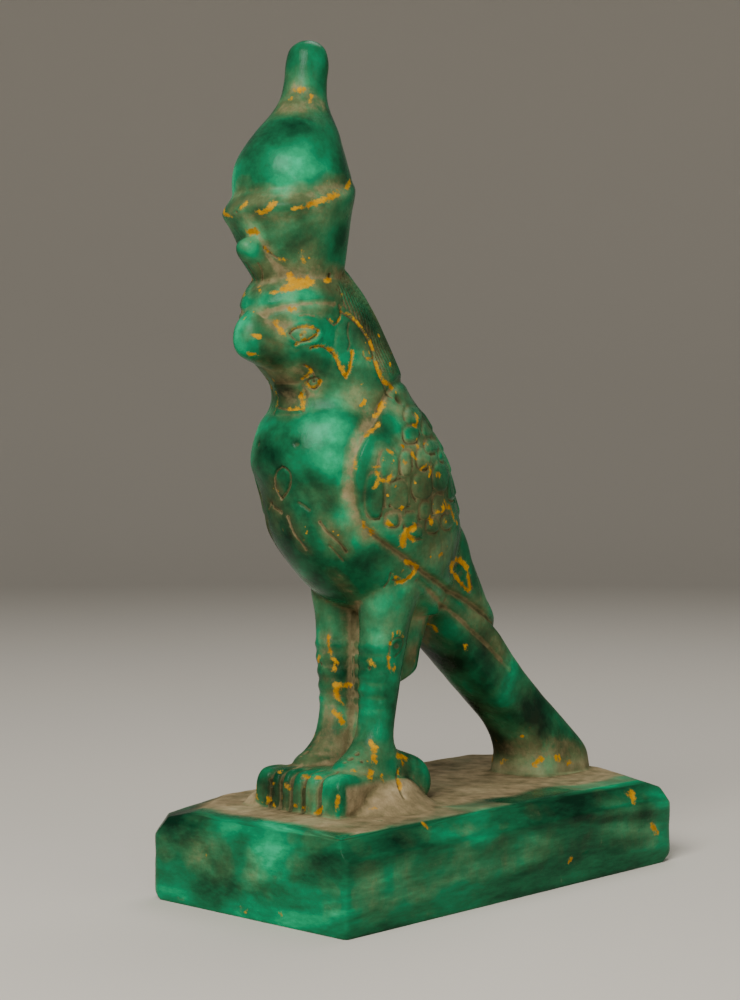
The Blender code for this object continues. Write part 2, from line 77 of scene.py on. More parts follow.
# Cuts across the block's worn corners, as signs of X, Y and Z and how far each reaches along each edge
WORN_CORNERS = (
    ((-1.0, -1.0, 1.0), (0.0090, 0.0090, 0.0090)),
    ((-1.0, -1.0, 1.0), (0.0160, 0.0260, 0.0034)),
    ((1.0, 1.0, 1.0), (0.0090, 0.0090, 0.0090)),
    ((1.0, 1.0, 1.0), (0.0260, 0.0140, 0.0042)),
    ((-1.0, 1.0, 1.0), (0.0060, 0.0060, 0.0050)),
    ((-1.0, -1.0, -1.0), (0.0045, 0.0045, 0.0035)),
    ((1.0, 1.0, -1.0), (0.0050, 0.0060, 0.0040)),
)

# The figure is drawn in steps, each a 178th of its own height, and about a millimetre on the real
# piece. Heights are steps above the plinth's top, and y runs from the beak to the tail.
STEPS_HIGH = 178.0
STEP = FIGURE_HEIGHT / STEPS_HIGH
TOE_LINE = -45.4
TAIL_LINE = 59.0
PLINTH_LENGTH = FRONT_LEDGE + (TAIL_LINE - TOE_LINE) * STEP + REAR_LEDGE
FIGURE_SHIFT = FRONT_LEDGE - PLINTH_LENGTH / 2.0 - TOE_LINE * STEP

# Each row of a body is one ring of it: y, height, half width, and half depth or, where the rings
# stand upright, half height
WHITE_CROWN = (
    (-46.0, 134.0, 11.5, 11.5),
    (-46.0, 140.0, 13.4, 13.4),
    (-46.1, 145.0, 13.8, 13.8),
    (-46.2, 149.0, 12.9, 12.9),
    (-45.5, 153.0, 11.3, 11.3),
    (-44.2, 157.0, 9.3, 9.3),
    (-43.0, 161.0, 6.9, 6.9),
    (-42.2, 164.5, 5.5, 5.5),
    (-41.7, 168.5, 5.0, 5.0),
    (-41.2, 172.5, 5.0, 5.0),
    (-41.0, 175.8, 4.2, 4.2),
    (-40.8, 177.5, 2.4, 2.4),
    (-40.8, 178.0, 0.8, 0.8),
)
RED_CROWN = (
    (-44.2, 119.0, 9.4, 9.4),
    (-44.3, 123.0, 10.4, 10.4),
    (-44.9, 126.0, 11.5, 11.5),
    (-45.6, 130.0, 12.6, 12.6),
    (-46.4, 134.0, 13.9, 13.9),
    (-47.0, 136.6, 15.1, 15.1),
    (-47.0, 137.8, 15.2, 15.2),
    (-47.0, 138.6, 14.8, 14.8),
    (-46.8, 140.2, 13.9, 13.9),
    (-46.4, 141.8, 13.2, 13.2),
)
RIM_HEIGHT = 137.8
RIM_RISE = 7.8
UPPER_SKULL = (
    (-44.0, 125.0, 7.0, 7.0),
    (-43.8, 122.5, 10.2, 11.0),
    (-44.0, 119.5, 11.4, 13.4),
    (-44.2, 116.5, 11.8, 14.6),
    (-44.3, 114.0, 11.4, 14.4),
)
SKULL = (
    (-43.5, 118.0, 9.0, 11.0),
    (-44.3, 115.0, 11.2, 14.6),
    (-44.5, 110.0, 11.2, 14.7),
    (-43.3, 105.0, 10.9, 12.8),
    (-39.5, 100.0, 10.6, 10.6),
    (-36.0, 94.0, 11.0, 10.0),
)
BEAK = (
    (-50.0, 109.8, 8.4, 8.8),
    (-55.0, 110.0, 6.9, 7.6),
    (-59.0, 109.3, 4.9, 5.8),
    (-61.6, 108.6, 3.3, 4.2),
    (-62.8, 108.2, 1.6, 2.4),
)
WIG = (
    (-40.5, 125.0, 8.0, 9.5),
    (-39.0, 121.0, 10.5, 11.0),
    (-37.8, 117.0, 12.0, 13.0),
    (-36.0, 113.0, 12.8, 14.0),
    (-34.7, 109.0, 13.5, 15.0),
    (-33.3, 105.0, 14.3, 16.0),
    (-31.8, 101.0, 14.7, 16.8),
    (-30.0, 97.0, 15.2, 17.4),
    (-28.6, 93.0, 16.2, 18.4),
)
TORSO = (
    (-30.0, 97.0, 15.2, 16.8),
    (-29.0, 93.0, 16.6, 18.8),
    (-29.4, 89.0, 18.6, 21.2),
    (-27.6, 81.0, 20.6, 24.9),
    (-24.6, 73.0, 20.6, 24.7),
    (-22.2, 65.0, 19.8, 25.4),
    (-20.0, 59.0, 17.8, 23.6),
    (-17.2, 53.0, 15.8, 20.4),
    (-14.0, 48.0, 12.8, 16.4),
    (-9.6, 44.0, 9.0, 11.0),
)
TAIL = (
    (-12.0, 71.0, 9.0, 6.0),
    (-7.2, 65.0, 12.6, 8.6),
    (-2.6, 56.0, 12.2, 9.8),
    (3.2, 46.5, 10.8, 10.9),
    (15.2, 34.0, 8.8, 10.4),
    (28.4, 22.3, 7.8, 10.6),
    (39.0, 13.6, 7.8, 11.0),
    (45.3, 6.4, 8.8, 12.6),
    (46.0, 1.8, 9.8, 13.0),
    (46.0, -3.0, 10.0, 13.2),
)
TAIL_SQUARE = 3.4
LEG = (
    (-20.0, 58.0, 8.0, 10.5),
    (-21.5, 50.0, 7.0, 8.2),
    (-22.4, 43.0, 5.9, 6.4),
    (-23.2, 36.0, 5.3, 5.7),
    (-23.6, 30.0, 4.9, 5.1),
    (-24.0, 24.0, 4.7, 4.4),
    (-24.8, 19.0, 4.6, 4.2),
    (-25.6, 15.0, 4.6, 5.4),
    (-26.4, 12.2, 4.9, 8.0),
    (-27.0, 10.2, 5.2, 11.2),
    (-27.6, 6.0, 5.4, 12.0),
    (-27.6, -2.0, 5.4, 12.0),
)
ANKLE_SPREAD = 6.4
HIP_SPREAD = 8.0
VENT = (
    (-9.0, 52.0, 9.0, 9.0),
    (-12.0, 42.0, 8.0, 9.0),
    (-13.4, 36.0, 7.2, 8.4),
    (-14.0, 32.6, 7.0, 8.2),
    (-14.4, 30.6, 6.7, 8.0),
    (-16.2, 28.8, 6.2, 6.0),
    (-18.6, 27.6, 5.2, 3.4),
)
SNAKE = (
    (-49.6, 116.6, 4.6, 3.4),
    (-51.4, 120.6, 4.6, 3.6),
    (-53.4, 122.8, 4.2, 3.8),
    (-56.0, 125.3, 3.7, 3.9),
    (-57.9, 126.8, 3.3, 3.8),
    (-59.0, 128.3, 3.1, 3.6),
    (-59.2, 129.9, 2.7, 3.1),
    (-58.4, 131.2, 1.7, 2.1),
)
HALLUX = (
    (-22.0, 6.0, 4.4, 8.6),
    (-17.5, 5.6, 4.3, 6.8),
    (-12.5, 5.0, 4.2, 5.8),
    (-9.6, 4.4, 3.8, 4.9),
    (-8.0, 4.0, 2.6, 3.6),
)
FEET = (
    (-20.0, 3.0, 10.6, 5.4),
    (-26.0, 3.9, 12.0, 5.6),
    (-34.0, 4.0, 13.0, 5.6),
    (-40.0, 3.9, 13.4, 5.5),
    (-43.0, 3.7, 13.3, 5.3),
    (-44.1, 3.5, 12.8, 4.8),
    (-44.5, 3.3, 12.2, 4.2),
)
FEET_SQUARE = 5.0
BANK = (
    (-26.0, -1.5, 25.0, 19.4),
    (-26.0, 0.1, 21.4, 18.2),
    (-26.0, 1.6, 18.4, 16.9),
    (-25.8, 3.4, 16.4, 15.6),
    (-25.4, 5.2, 14.6, 14.0),
    (-25.0, 6.6, 12.4, 12.0),
    (-25.0, 7.3, 9.0, 9.0),
)
# A low heap of dirt against the far foot's outer toe
HEAP = (
    (-41.5, -1.5, 6.4, 6.0),
    (-41.5, 0.2, 5.2, 4.8),
    (-41.5, 1.8, 3.8, 3.4),
    (-41.5, 3.2, 2.0, 1.8),
)
HEAP_SIDE = -14.0
WEB = (
    (-19.0, 50.0, 4.6, 5.0),
    (-21.6, 40.0, 3.2, 2.6),
    (-22.6, 25.0, 2.6, 1.7),
    (-23.6, 12.0, 2.8, 2.6),
    (-25.0, 4.0, 3.4, 5.0),
)
# The toes are short upright ribs across the front of the feet, each at its own place and half width
TOES = ((-10.9, 2.6), (-6.6, 1.7), (-3.3, 1.6), (0.4, 2.0), (4.8, 2.1), (11.2, 3.2))
TOE = (
    (-35.0, 3.6, 0.6, 4.6),
    (-39.0, 4.1, 0.9, 5.3),
    (-43.2, 4.0, 1.0, 5.3),
    (-44.7, 3.5, 0.94, 4.7),
    (-45.2, 3.0, 0.82, 4.0),
    (TOE_LINE, 2.6, 0.6, 3.2),
)
TOE_SQUARE = 2.6
TOE_GAP = (0.55, 0.9)
TOES_BEHIND = (-40.5, -37.5)
TOES_STAND = (-0.2, 0.8)
TOES_HIGH = 12.0

# Carving seen from the side, as lines through (y, height). Each cut has a width and a depth.
WING_EDGE = (
    (-4.0, 95.0),
    (-13.0, 98.6),
    (-21.0, 100.0),
    (-26.5, 98.6),
    (-31.0, 95.4),
    (-36.6, 89.8),
    (-40.0, 85.8),
    (-42.0, 82.0),
    (-42.4, 78.0),
    (-41.4, 74.0),
    (-40.2, 70.0),
    (-38.6, 66.8),
    (-35.9, 64.3),
    (-32.2, 62.0),
    (-27.5, 59.5),
    (-19.6, 55.4),
    (-11.6, 52.2),
    (-0.9, 48.9),
    (9.8, 44.1),
    (22.0, 38.5),
)
WING_BACK = ((40.0, 70.0), (20.0, 100.0))
WING_RAISE = 0.9
WING_RIM = (-0.5, 0.7)
WING_TOP = (90.0, 98.0)
# The valley in front of the wing and the cut under it: how far outside the edge, a width and a depth
WING_VALLEY = (1.6, 4.0, 0.9)
WING_CUT = (0.2, 1.9, 0.75)
WING_TURN = (-38.5, -34.0)
SHOULDER = ((-43.6, 81.0), (-38.6, 84.0), (-33.6, 87.2), (-27.0, 93.6))
SHOULDER_FADE = (-2.0, 0.0)
FEATHERED = (1.2, 2.2)
COVERT_EDGE = ((-20.4, 53.0), (-12.7, 49.4), (-3.1, 45.2), (5.5, 40.2), (14.5, 34.6), (23.0, 28.6))
COVERT_CUT = (2.2, 0.45)
BROW = ((-58.6, 113.8), (-57.0, 114.9), (-54.2, 115.9), (-50.5, 116.4), (-46.6, 116.6), (-44.4, 116.4))
BROW_CUT = (2.6, 0.42)
MOUTH = ((-61.2, 108.6), (-59.4, 108.2), (-55.7, 107.0), (-52.6, 105.8))
MOUTH_CUT = (1.5, 0.12)
EYE_CENTRE = (-51.4, 109.6)
EYE_HALF_LENGTH = 3.0
EYE_HALF_HEIGHT = 1.8
EYE_BULGE = 0.5
# The lid is a rim this many eyeballs out, with a width and a rise
LID = (1.3, 0.16, 0.22)
# Shallow hollows in the flank, as (y, height, half length, half height, depth)
HOLLOWS = (
    (-56.4, 111.8, 3.6, 2.6, 0.5),
    (-36.5, 88.6, 5.0, 3.6, 0.45),
    (-47.6, 113.4, 3.4, 1.6, 0.25),
)
WIG_REGION = (
    (-43.0, 120.0),
    (-41.4, 116.2),
    (-38.6, 114.4),
    (-35.8, 111.4),
    (-34.0, 108.6),
    (-33.2, 104.8),
    (-31.6, 101.6),
    (-26.0, 101.2),
    (-19.0, 101.6),
    (-10.0, 99.6),
    (-2.0, 96.0),
    (4.0, 104.0),
    (-16.0, 128.0),
    (-34.0, 128.0),
)
LOCKS = 84
LOCK_DEPTH = 0.34
LOCK_SHAPE = (-0.2, 0.9)
LOCK_WANDER = ((0.05, 9.0, 8),)

# The feathers: rows of scales over the shoulder, and long plumes below them
SCALE_PITCH = 5.6
SCALE_SIDES = 0.8
SCALE_RISE = 0.42
SCALE_DOME = 1.1
SCALE_TILT = (0.3, 0.9)
SCALE_TOP_CUT = 0.25
SCALE_OUTLINE = (0.48, 0.42)
SCALE_LEAN = 14.0
SCALES_FROM = 93.0
SCALES_TO = 67.0
PLUME_LEAN = 20.0
PLUME_PITCH = 4.2
PLUME_WIDTH = 0.5
PLUME_DEPTH = 0.16
PLUME_PLAIN = 0.25
PLUMES_DEEPEN = (-26.0, -8.0)
# How far the rows wander, and the size and seed of the wander each way
HAND_WANDER = 0.55
WANDERS = ((9.0, 5), (8.0, 6))

# The wing's scales that show in the photograph: each oval's place, half width and half height in its
# frame. Past the line behind them, where the wing turns out of sight, the scales are in even rows.
SCALES = (
    (387.5, 465, 10.5, 17.3),
    (404.0, 463, 6.1, 14.0),
    (397.0, 494, 11.0, 16.2),
    (420.0, 485, 10.5, 15.1),
    (421.0, 457, 7.2, 11.9),
    (437.0, 477, 7.7, 15.7),
    (411.0, 416, 8.8, 11.3),
    (426.0, 428, 7.2, 10.8),
    (409.0, 434, 8.2, 9.2),
    (374.0, 494, 9.9, 23.8),
    (429.0, 446, 7.7, 7.6),
    (441.0, 450, 6.1, 11.9),
    (408.0, 518, 8.8, 8.6),
    (423.0, 510, 6.1, 10.3),
    (436.0, 504, 6.6, 11.9),
    (449.0, 485, 5.0, 15.1),
    (391.0, 518, 7.2, 7.6),
    (414.0, 530, 7.4, 7.0),
    (430.0, 524, 6.6, 7.6),
    (444.0, 520, 5.6, 8.4),
)
SCALE_SQUARE = 2.6
HIDDEN_FROM = ((-20.0, 99.0), (-16.0, 89.0), (-9.0, 77.0), (-3.0, 66.0), (4.0, 50.0))

# Carving seen from the front, as (x, height, half width, half height)
BIB = (0.8, 95.2, 3.9, 3.4)
BIB_RAISE = 0.7
BIB_EDGE = 0.4
SHIN_KNOBS = (22.0, 40.0)
KNOBS_FADE = 3.0
KNOB_PITCH = 3.4
KNOB_RISE = 0.3
SHIN_FRONT = -24.0

# Unevenness from working by hand, each a height, a size and a seed: all over, more on the block, and
# scrapes that run along the block's sides
HAND_WORK = ((0.05, 7.0, 11), (0.03, 2.6, 12))
BLOCK_WORK = ((0.12, 22.0, 13), (0.05, 5.0, 14))
SCRAPES = ((0.05, 2.4, 15),)
SCRAPE_STRETCH = 0.12
BLOCK_TOP = (-0.6, 0.4)

# Scored lines, as places in the photograph's frame, each with a width and a depth in steps.
# Those of the near flank are repeated on the far one.
SCORED = (
    (0.9, 0.42, ((290, 332), (295, 328), (302, 326), (310, 326.5), (316, 328), (319, 330))),
    (1.1, 0.50, ((319, 330), (316, 334), (310, 338), (303, 340.5), (296, 343))),
    (0.7, 0.25, ((290, 332), (293, 337), (298, 341))),
    (0.9, 0.35, ((300, 334), (303, 333.5))),
    (0.7, 0.20, ((300, 314), (307, 313.5), (315, 314.5))),
    (1.1, 0.48, ((311, 347), (320, 345), (328, 348), (334, 353), (338, 361), (341, 369), (346, 376))),
    (1.1, 0.48, ((352, 351), (351.5, 360), (349.5, 369), (346, 376))),
    (0.9, 0.38, ((328, 317), (331, 321), (335, 323.5), (339, 319), (341, 312), (339, 304))),
    (1.1, 0.50, ((341, 311), (350, 316), (358, 323), (364, 331), (369, 340), (372, 348), (374, 357))),
    (1.2, 0.50, ((374, 357), (377, 367), (381, 377), (386, 387), (392, 396))),
    (0.8, 0.30, ((363, 353), (367, 358), (372, 358))),
    (0.8, 0.30, ((349, 322), (348, 332), (350, 342), (348, 349))),
    (0.9, 0.45, ((304, 364), (309, 366.5), (313, 372), (315, 377))),
    (0.8, 0.35, ((302, 378), (306, 376), (310, 373))),
    (
        0.9,
        0.50,
        ((307, 381), (310, 386), (314, 388), (319, 384), (320, 379), (316, 377), (310, 378), (307, 381)),
    ),
    (1.1, 0.50, ((302, 391), (303, 400), (303.5, 409))),
    (1.0, 0.50, ((280, 407), (290, 410), (303.5, 409))),
    (1.0, 0.40, ((276, 389), (278, 399), (280, 407))),
    (1.2, 0.50, ((282, 466), (276, 471), (274.5, 480), (276.5, 490), (281, 498))),
    (1.2, 0.50, ((281, 498), (287, 491), (290, 482), (289.5, 473), (286, 468), (282, 466))),
    (1.6, 0.42, ((270, 502), (274, 507), (281, 511))),
    (1.4, 0.38, ((299, 502), (304, 505), (309, 509))),
    (1.4, 0.38, ((288, 516), (290, 524), (294, 533), (300, 541), (306, 549))),
    (1.4, 0.45, ((320, 521), (325, 529), (332, 536), (340, 543), (346, 551))),
    (1.0, 0.30, ((330, 545), (336, 552), (343, 560))),
    (0.9, 0.30, ((390, 653), (390, 644), (394, 638), (402, 636.5), (404, 642), (401, 650), (395, 656))),
    (0.8, 0.25, ((388, 656), (389, 664), (391, 672))),
    (1.0, 0.35, ((410, 563), (414, 569), (409, 577), (401, 581), (393, 579))),
    (0.9, 0.30, ((391, 572), (389, 580), (384, 586))),
    (1.2, 0.40, ((451, 566), (457, 561), (463, 565), (468, 575), (470, 587))),
    (1.2, 0.40, ((451, 570), (455, 577), (461, 584), (467, 590))),
    (1.0, 0.40, ((269, 778), (272, 786), (273, 794))),
    (1.0, 0.40, ((398, 768), (397, 778), (400, 789), (404, 797))),
    (0.8, 0.30, ((264, 246), (270, 252), (277, 257))),
    (0.8, 0.30, ((258, 262), (262, 270), (262, 279))),
    (1.0, 0.30, ((246, 262), (251, 270), (256, 279))),
)

# Drilled pits and chips, as a place in the frame, a radius and a depth in steps. Their floors are flat.
PIT_FLOOR = 0.35
PITS = (
    (350, 757, 1.1, 0.9), (357, 752, 0.9, 0.8), (362, 760, 0.7, 0.5), (345, 761, 0.6, 0.4),
    (398, 399, 1.7, 0.5), (330, 274, 0.8, 0.7), (297, 443, 1.0, 0.2), (380, 819, 0.8, 0.5),
    (286, 783, 0.7, 0.4), (318, 777, 0.6, 0.35), (302, 777, 0.5, 0.3), (236, 211, 0.5, 0.35),
    (314, 380, 0.7, 0.5), (369, 667, 0.7, 0.4), (397, 645, 1.3, 0.3), (458, 573, 1.4, 0.3),
    (385, 476, 1.0, 0.3), (411, 416, 1.2, 0.25),
)

# Traces of ochre, as a width in steps and places in the frame
PIGMENT = (
    (0.4, ((266, 796), (267, 801))),
    (0.3, ((281, 795), (281, 799))),
    (0.35, ((294, 807), (297, 804))),
    (0.35, ((305, 810), (307, 806))),
    (0.45, ((317, 812), (321, 808))),
    (0.3, ((330, 825), (342, 824))),
    (0.25, ((370, 809), (376, 809))),
    (0.3, ((285, 786), (288, 789))),
    (0.25, ((317, 776), (320, 778))),
    (0.9, ((282, 290), (290, 288), (300, 285), (311, 282))),
    (0.9, ((291, 279), (298, 281), (308, 280))),
    (0.6, ((290, 275), (290, 284))),
    (0.3, ((270, 293), (277, 292))),
    (0.35, ((259, 287), (260, 293))),
    (0.6, ((290, 309), (294, 309))),
    (0.5, ((275, 321), (279, 328), (283, 334))),
    (0.4, ((253, 335), (261, 337))),
    (0.55, ((250, 354), (254, 354.5))),
    (0.4, ((296, 343), (303, 340), (310, 338), (316, 333.5), (318, 330))),
    (0.22, ((293, 329), (302, 326), (312, 327), (317, 329))),
    (0.3, ((301, 334), (304, 333))),
    (0.25, ((311, 347), (320, 345), (328, 348))),
    (0.5, ((329, 349), (334, 353), (338, 361), (341, 369), (345, 374))),
    (0.5, ((352, 353), (351, 361), (349, 369), (346, 377))),
    (0.25, ((340, 307), (341, 313), (339, 319))),
    (0.18, ((330, 320), (335, 323.5), (339, 319))),
    (0.12, ((341, 311), (350, 316), (358, 323), (364, 331), (369, 340))),
    (0.45, ((370, 341), (372, 348))),
    (0.5, ((375, 362), (377, 368), (380, 376))),
    (0.55, ((383, 380), (387, 384), (392, 388))),
    (0.25, ((363, 354), (367, 358), (372, 358))),
    (0.35, ((307, 367), (312, 372))),
    (0.35, ((302, 378), (306, 376), (310, 373))),
    (0.4, ((307, 382), (311, 387), (316, 386), (320, 381))),
    (0.5, ((302, 393), (303, 408))),
    (0.4, ((287, 409), (300, 410))),
    (0.6, ((295, 89), (303, 90))),
    (0.4, ((291, 99), (292, 97))),
    (0.4, ((312, 96), (310, 101))),
    (0.7, ((241, 208), (245, 204))),
    (0.5, ((258, 213), (268, 209))),
    (0.7, ((270, 208), (275, 202))),
    (0.45, ((292, 209), (302, 207))),
    (0.7, ((308, 206), (320, 201), (330, 197), (339, 193))),
    (0.6, ((346, 189), (350, 181))),
    (0.8, ((249, 232), (256, 231))),
    (0.3, ((264, 247), (270, 252))),
    (0.6, ((280, 259), (283, 259))),
    (0.3, ((302, 252), (304, 262))),
    (0.7, ((325, 281), (330, 280))),
    (0.6, ((383, 403), (379, 412), (375, 416))),
    (0.6, ((378, 425), (371, 431), (366, 436))),
    (0.4, ((356, 457), (355, 468))),
    (0.5, ((417, 415), (416, 426), (413, 425))),
    (0.4, ((388, 450), (393, 453))),
    (0.3, ((382, 458), (383, 459))),
    (0.35, ((372, 466), (378, 467))),
    (0.4, ((377, 472), (380, 479), (386, 482))),
    (0.4, ((392, 473), (389, 480), (386, 482))),
    (0.4, ((377, 484), (373, 489))),
    (0.5, ((412, 453), (416, 459))),
    (0.5, ((417, 446), (418, 447))),
    (0.35, ((404, 461), (405, 462))),
    (0.45, ((428, 463), (431, 472))),
    (0.55, ((437, 475), (440, 475))),
    (0.35, ((420, 469), (426, 466))),
    (0.7, ((388, 523), (391, 525))),
    (0.9, ((414, 527), (406, 532), (403, 539), (403, 545))),
    (0.6, ((409, 536), (415, 541))),
    (0.6, ((371, 529), (372, 533))),
    (0.4, ((363, 522), (364, 529))),
    (0.6, ((430, 517), (431, 522))),
    (0.5, ((436, 513), (444, 508), (450, 506))),
    (0.4, ((444, 501), (446, 504))),
    (0.5, ((450, 507), (453, 516), (457, 523))),
    (0.4, ((445, 521), (447, 523))),
    (0.7, ((450, 567), (455, 561), (460, 560), (465, 567), (469, 577), (470, 588))),
    (0.6, ((451, 570), (456, 577), (460, 583), (467, 590))),
    (0.6, ((406, 562), (413, 563), (416, 568), (411, 575), (404, 580), (397, 582))),
    (0.35, ((393, 575), (397, 579))),
    (0.4, ((328, 634), (329, 645), (331, 654))),
    (0.5, ((332, 658), (336, 663), (334, 669))),
    (0.8, ((336, 685), (337, 695))),
    (0.6, ((338, 686), (350, 685))),
    (0.45, ((338, 698), (342, 703))),
    (0.6, ((334, 712), (340, 717), (342, 723))),
    (0.45, ((369, 661), (373, 666))),
    (0.3, ((390, 644), (392, 636), (398, 632), (403, 636))),
    (0.25, ((388, 655), (389, 668))),
    (0.45, ((394, 666), (394, 671))),
    (0.5, ((371, 742), (373, 750))),
    (0.6, ((376, 747), (374, 755), (375, 762))),
    (0.6, ((427, 625), (433, 626), (436, 631))),
    (0.6, ((266, 797), (268, 802))),
    (0.5, ((281, 796), (281, 798))),
    (0.5, ((294, 806), (297, 804))),
    (0.5, ((305, 808), (308, 805))),
    (0.65, ((320, 811), (323, 806))),
    (0.5, ((337, 797), (337, 804))),
    (0.4, ((332, 811), (336, 810))),
    (0.4, ((273, 782), (273, 784))),
    (0.5, ((287, 785), (289, 787))),
    (0.5, ((304, 776), (310, 778))),
    (0.4, ((317, 778), (320, 778))),
    (0.4, ((352, 770), (355, 771))),
    (0.8, ((371, 772), (369, 778))),
    (0.6, ((382, 776), (382, 778))),
    (0.8, ((398, 756), (405, 757))),
    (0.6, ((402, 762), (403, 765))),
    (0.5, ((398, 770), (398, 773))),
    (0.55, ((398, 779), (400, 789))),
    (0.5, ((501, 763), (506, 758))),
    (0.7, ((535, 765), (541, 759))),
    (0.9, ((556, 759), (560, 758))),
    (0.7, ((567, 763), (571, 764))),
    (0.45, ((465, 646), (466, 649))),
    (0.8, ((632, 791), (634, 802))),
    (0.5, ((625, 792), (628, 796))),
    (0.6, ((423, 824), (429, 828))),
    (0.5, ((565, 863), (572, 859))),
    (0.35, ((237, 907), (248, 911))),
    (0.4, ((280, 913), (281, 916))),
    (0.4, ((205, 855), (206, 858))),
    (0.8, ((652, 825), (657, 834))),
)

# Broad patches, as a place in the frame, a radius in steps and how strong: rubbed clean and pale, with
# painted highlights on the crown, breast and snake; deep green, with painted shade; and soiled
PALE_AND_PAINTED_HIGHLIGHT = (
    (315, 822, 6.0, 0.9), (480, 790, 5.0, 0.6), (298, 160, 6.0, 1.1), (285, 185, 4.0, 0.8),
    (250, 226, 3.0, 0.8), (285, 221, 3.5, 0.8), (320, 214, 3.5, 0.8), (243, 325, 3.0, 0.5),
    (265, 303, 2.5, 0.6), (290, 298, 3.0, 0.7), (312, 295, 3.5, 0.8), (245, 243, 2.0, 0.5),
    (330, 334, 3.0, 0.6), (335, 428, 6.0, 1.0), (330, 465, 5.0, 0.9), (345, 402, 4.5, 0.8),
    (345, 515, 2.5, 0.6), (352, 540, 2.5, 0.5), (395, 430, 2.5, 0.5), (380, 605, 3.0, 0.6),
    (376, 640, 2.5, 0.5), (372, 700, 3.0, 0.4), (378, 735, 2.0, 0.4), (265, 832, 6.0, 0.6),
    (300, 905, 7.0, 0.4), (440, 835, 4.0, 0.5), (332, 780, 2.5, 0.5), (357, 396, 3.5, 0.7),
    (341, 478, 2.4, 0.9), (346, 500, 2.4, 0.8), (306, 470, 2.5, 0.4), (385, 368, 3.5, 0.4),
)
# The deep patches are deep green stone and also painted shade on the throat under the beak, between the
# legs and on the tail's front face
DEEP_AND_PAINTED_SHADE = (
    (296, 442, 1.4, 0.8), (318, 480, 3.5, 0.6), (275, 420, 3.0, 0.5), (330, 505, 2.5, 0.5),
    (440, 765, 6.0, 0.8), (530, 712, 7.0, 1.4), (290, 136, 5.0, 0.5), (318, 150, 3.0, 0.7),
    (342, 165, 4.0, 0.7), (343, 235, 3.5, 0.8), (300, 245, 4.0, 0.5), (275, 360, 4.0, 0.6),
    (265, 445, 4.0, 0.5), (360, 560, 6.0, 0.6), (345, 540, 3.0, 0.5), (367, 495, 3.0, 0.6),
    (397, 645, 1.8, 0.9), (205, 885, 5.0, 0.5), (320, 850, 4.0, 0.5), (400, 845, 4.0, 0.4),
    (645, 810, 3.5, 0.7), (430, 880, 8.0, 0.4), (430, 770, 3.0, 0.5), (408, 778, 1.6, 0.9),
    (398, 399, 1.5, 0.9), (470, 640, 3.5, 0.4), (315, 357, 3.2, 0.7), (285, 388, 4.0, 0.8),
    (365, 320, 5.0, 0.6), (350, 288, 3.0, 0.5), (392, 440, 3.0, 0.5), (378, 505, 3.5, 0.6),
    (425, 492, 9.0, 0.35), (560, 745, 5.0, 0.8), (335, 680, 5.0, 0.5), (332, 730, 4.0, 0.4),
    (270, 790, 4.0, 0.6), (305, 800, 4.0, 0.5), (335, 795, 3.0, 0.4), (370, 772, 4.0, 0.6),
    (485, 632, 6.0, 0.5), (450, 665, 5.0, 0.9), (455, 665, 4.0, 1.3), (470, 705, 4.0, 1.5),
    (495, 740, 5.0, 1.6), (540, 735, 5.0, 1.2), (575, 800, 7.0, 0.5),
)
SOILED = (
    (243, 325, 4.0, 0.9), (245, 243, 3.0, 1.0), (290, 297, 4.0, 0.8), (318, 295, 4.0, 0.8),
    (250, 225, 3.0, 0.9), (285, 220, 4.0, 0.9), (322, 213, 4.0, 0.9), (410, 560, 6.0, 0.7),
    (440, 545, 6.0, 0.8), (380, 605, 5.0, 0.5), (372, 690, 4.0, 0.3), (270, 785, 5.0, 0.9),
    (310, 795, 5.0, 0.9), (365, 770, 5.0, 0.8), (335, 660, 4.0, 0.5), (225, 160, 4.0, 0.5),
    (250, 170, 4.0, 0.5), (240, 255, 4.0, 0.6), (565, 760, 5.0, 0.9), (283, 380, 4.5, 1.0),
    (290, 400, 3.0, 1.0), (268, 330, 3.5, 0.9), (280, 325, 2.5, 0.9), (262, 270, 4.0, 0.9),
    (285, 272, 3.5, 0.9), (258, 198, 3.5, 1.0), (300, 198, 4.0, 0.9), (330, 188, 3.5, 0.8),
    (335, 285, 4.0, 0.9), (290, 105, 3.5, 0.7), (380, 400, 4.0, 1.0), (372, 425, 3.0, 1.0),
    (353, 465, 2.0, 0.9), (354, 495, 2.0, 0.9), (365, 530, 2.5, 0.8), (410, 470, 7.0, 0.75),
    (425, 505, 6.0, 0.8), (400, 505, 5.0, 0.8), (430, 430, 5.0, 0.7), (370, 350, 4.0, 0.9),
    (375, 315, 5.0, 0.9), (352, 285, 4.0, 0.9), (390, 365, 4.0, 0.9), (400, 395, 4.0, 0.8),
    (475, 610, 5.0, 0.9), (500, 640, 4.0, 0.8), (455, 590, 3.0, 0.7), (340, 585, 3.0, 0.9),
    (355, 610, 2.5, 0.9), (414, 620, 3.0, 0.8), (412, 660, 2.5, 0.7), (325, 745, 4.5, 0.9),
    (310, 760, 4.0, 1.0), (530, 740, 6.0, 0.8), (575, 755, 4.0, 0.8), (510, 755, 3.0, 0.8),
    (303, 545, 3.0, 0.6), (335, 545, 3.0, 0.6), (370, 880, 5.0, 0.6), (195, 855, 3.0, 0.7),
    (330, 700, 4.0, 0.4), (400, 760, 2.5, 0.7), (277, 490, 3.0, 0.8), (276, 507, 2.5, 0.9),
    (300, 530, 3.0, 0.9), (335, 535, 3.5, 1.0), (374, 695, 3.0, 0.6), (400, 412, 4.5, 1.2),
    (247, 330, 3.5, 1.2), (306, 333, 2.6, 1.3), (272, 343, 3.6, 1.2), (287, 325, 2.6, 1.2),
    (357, 396, 3.6, 1.5), (418, 478, 10.0, 1.5), (438, 512, 7.0, 1.4), (435, 545, 6.0, 1.0),
    (385, 350, 5.0, 1.1), (260, 308, 3.0, 1.0), (310, 255, 4.0, 0.8),
)

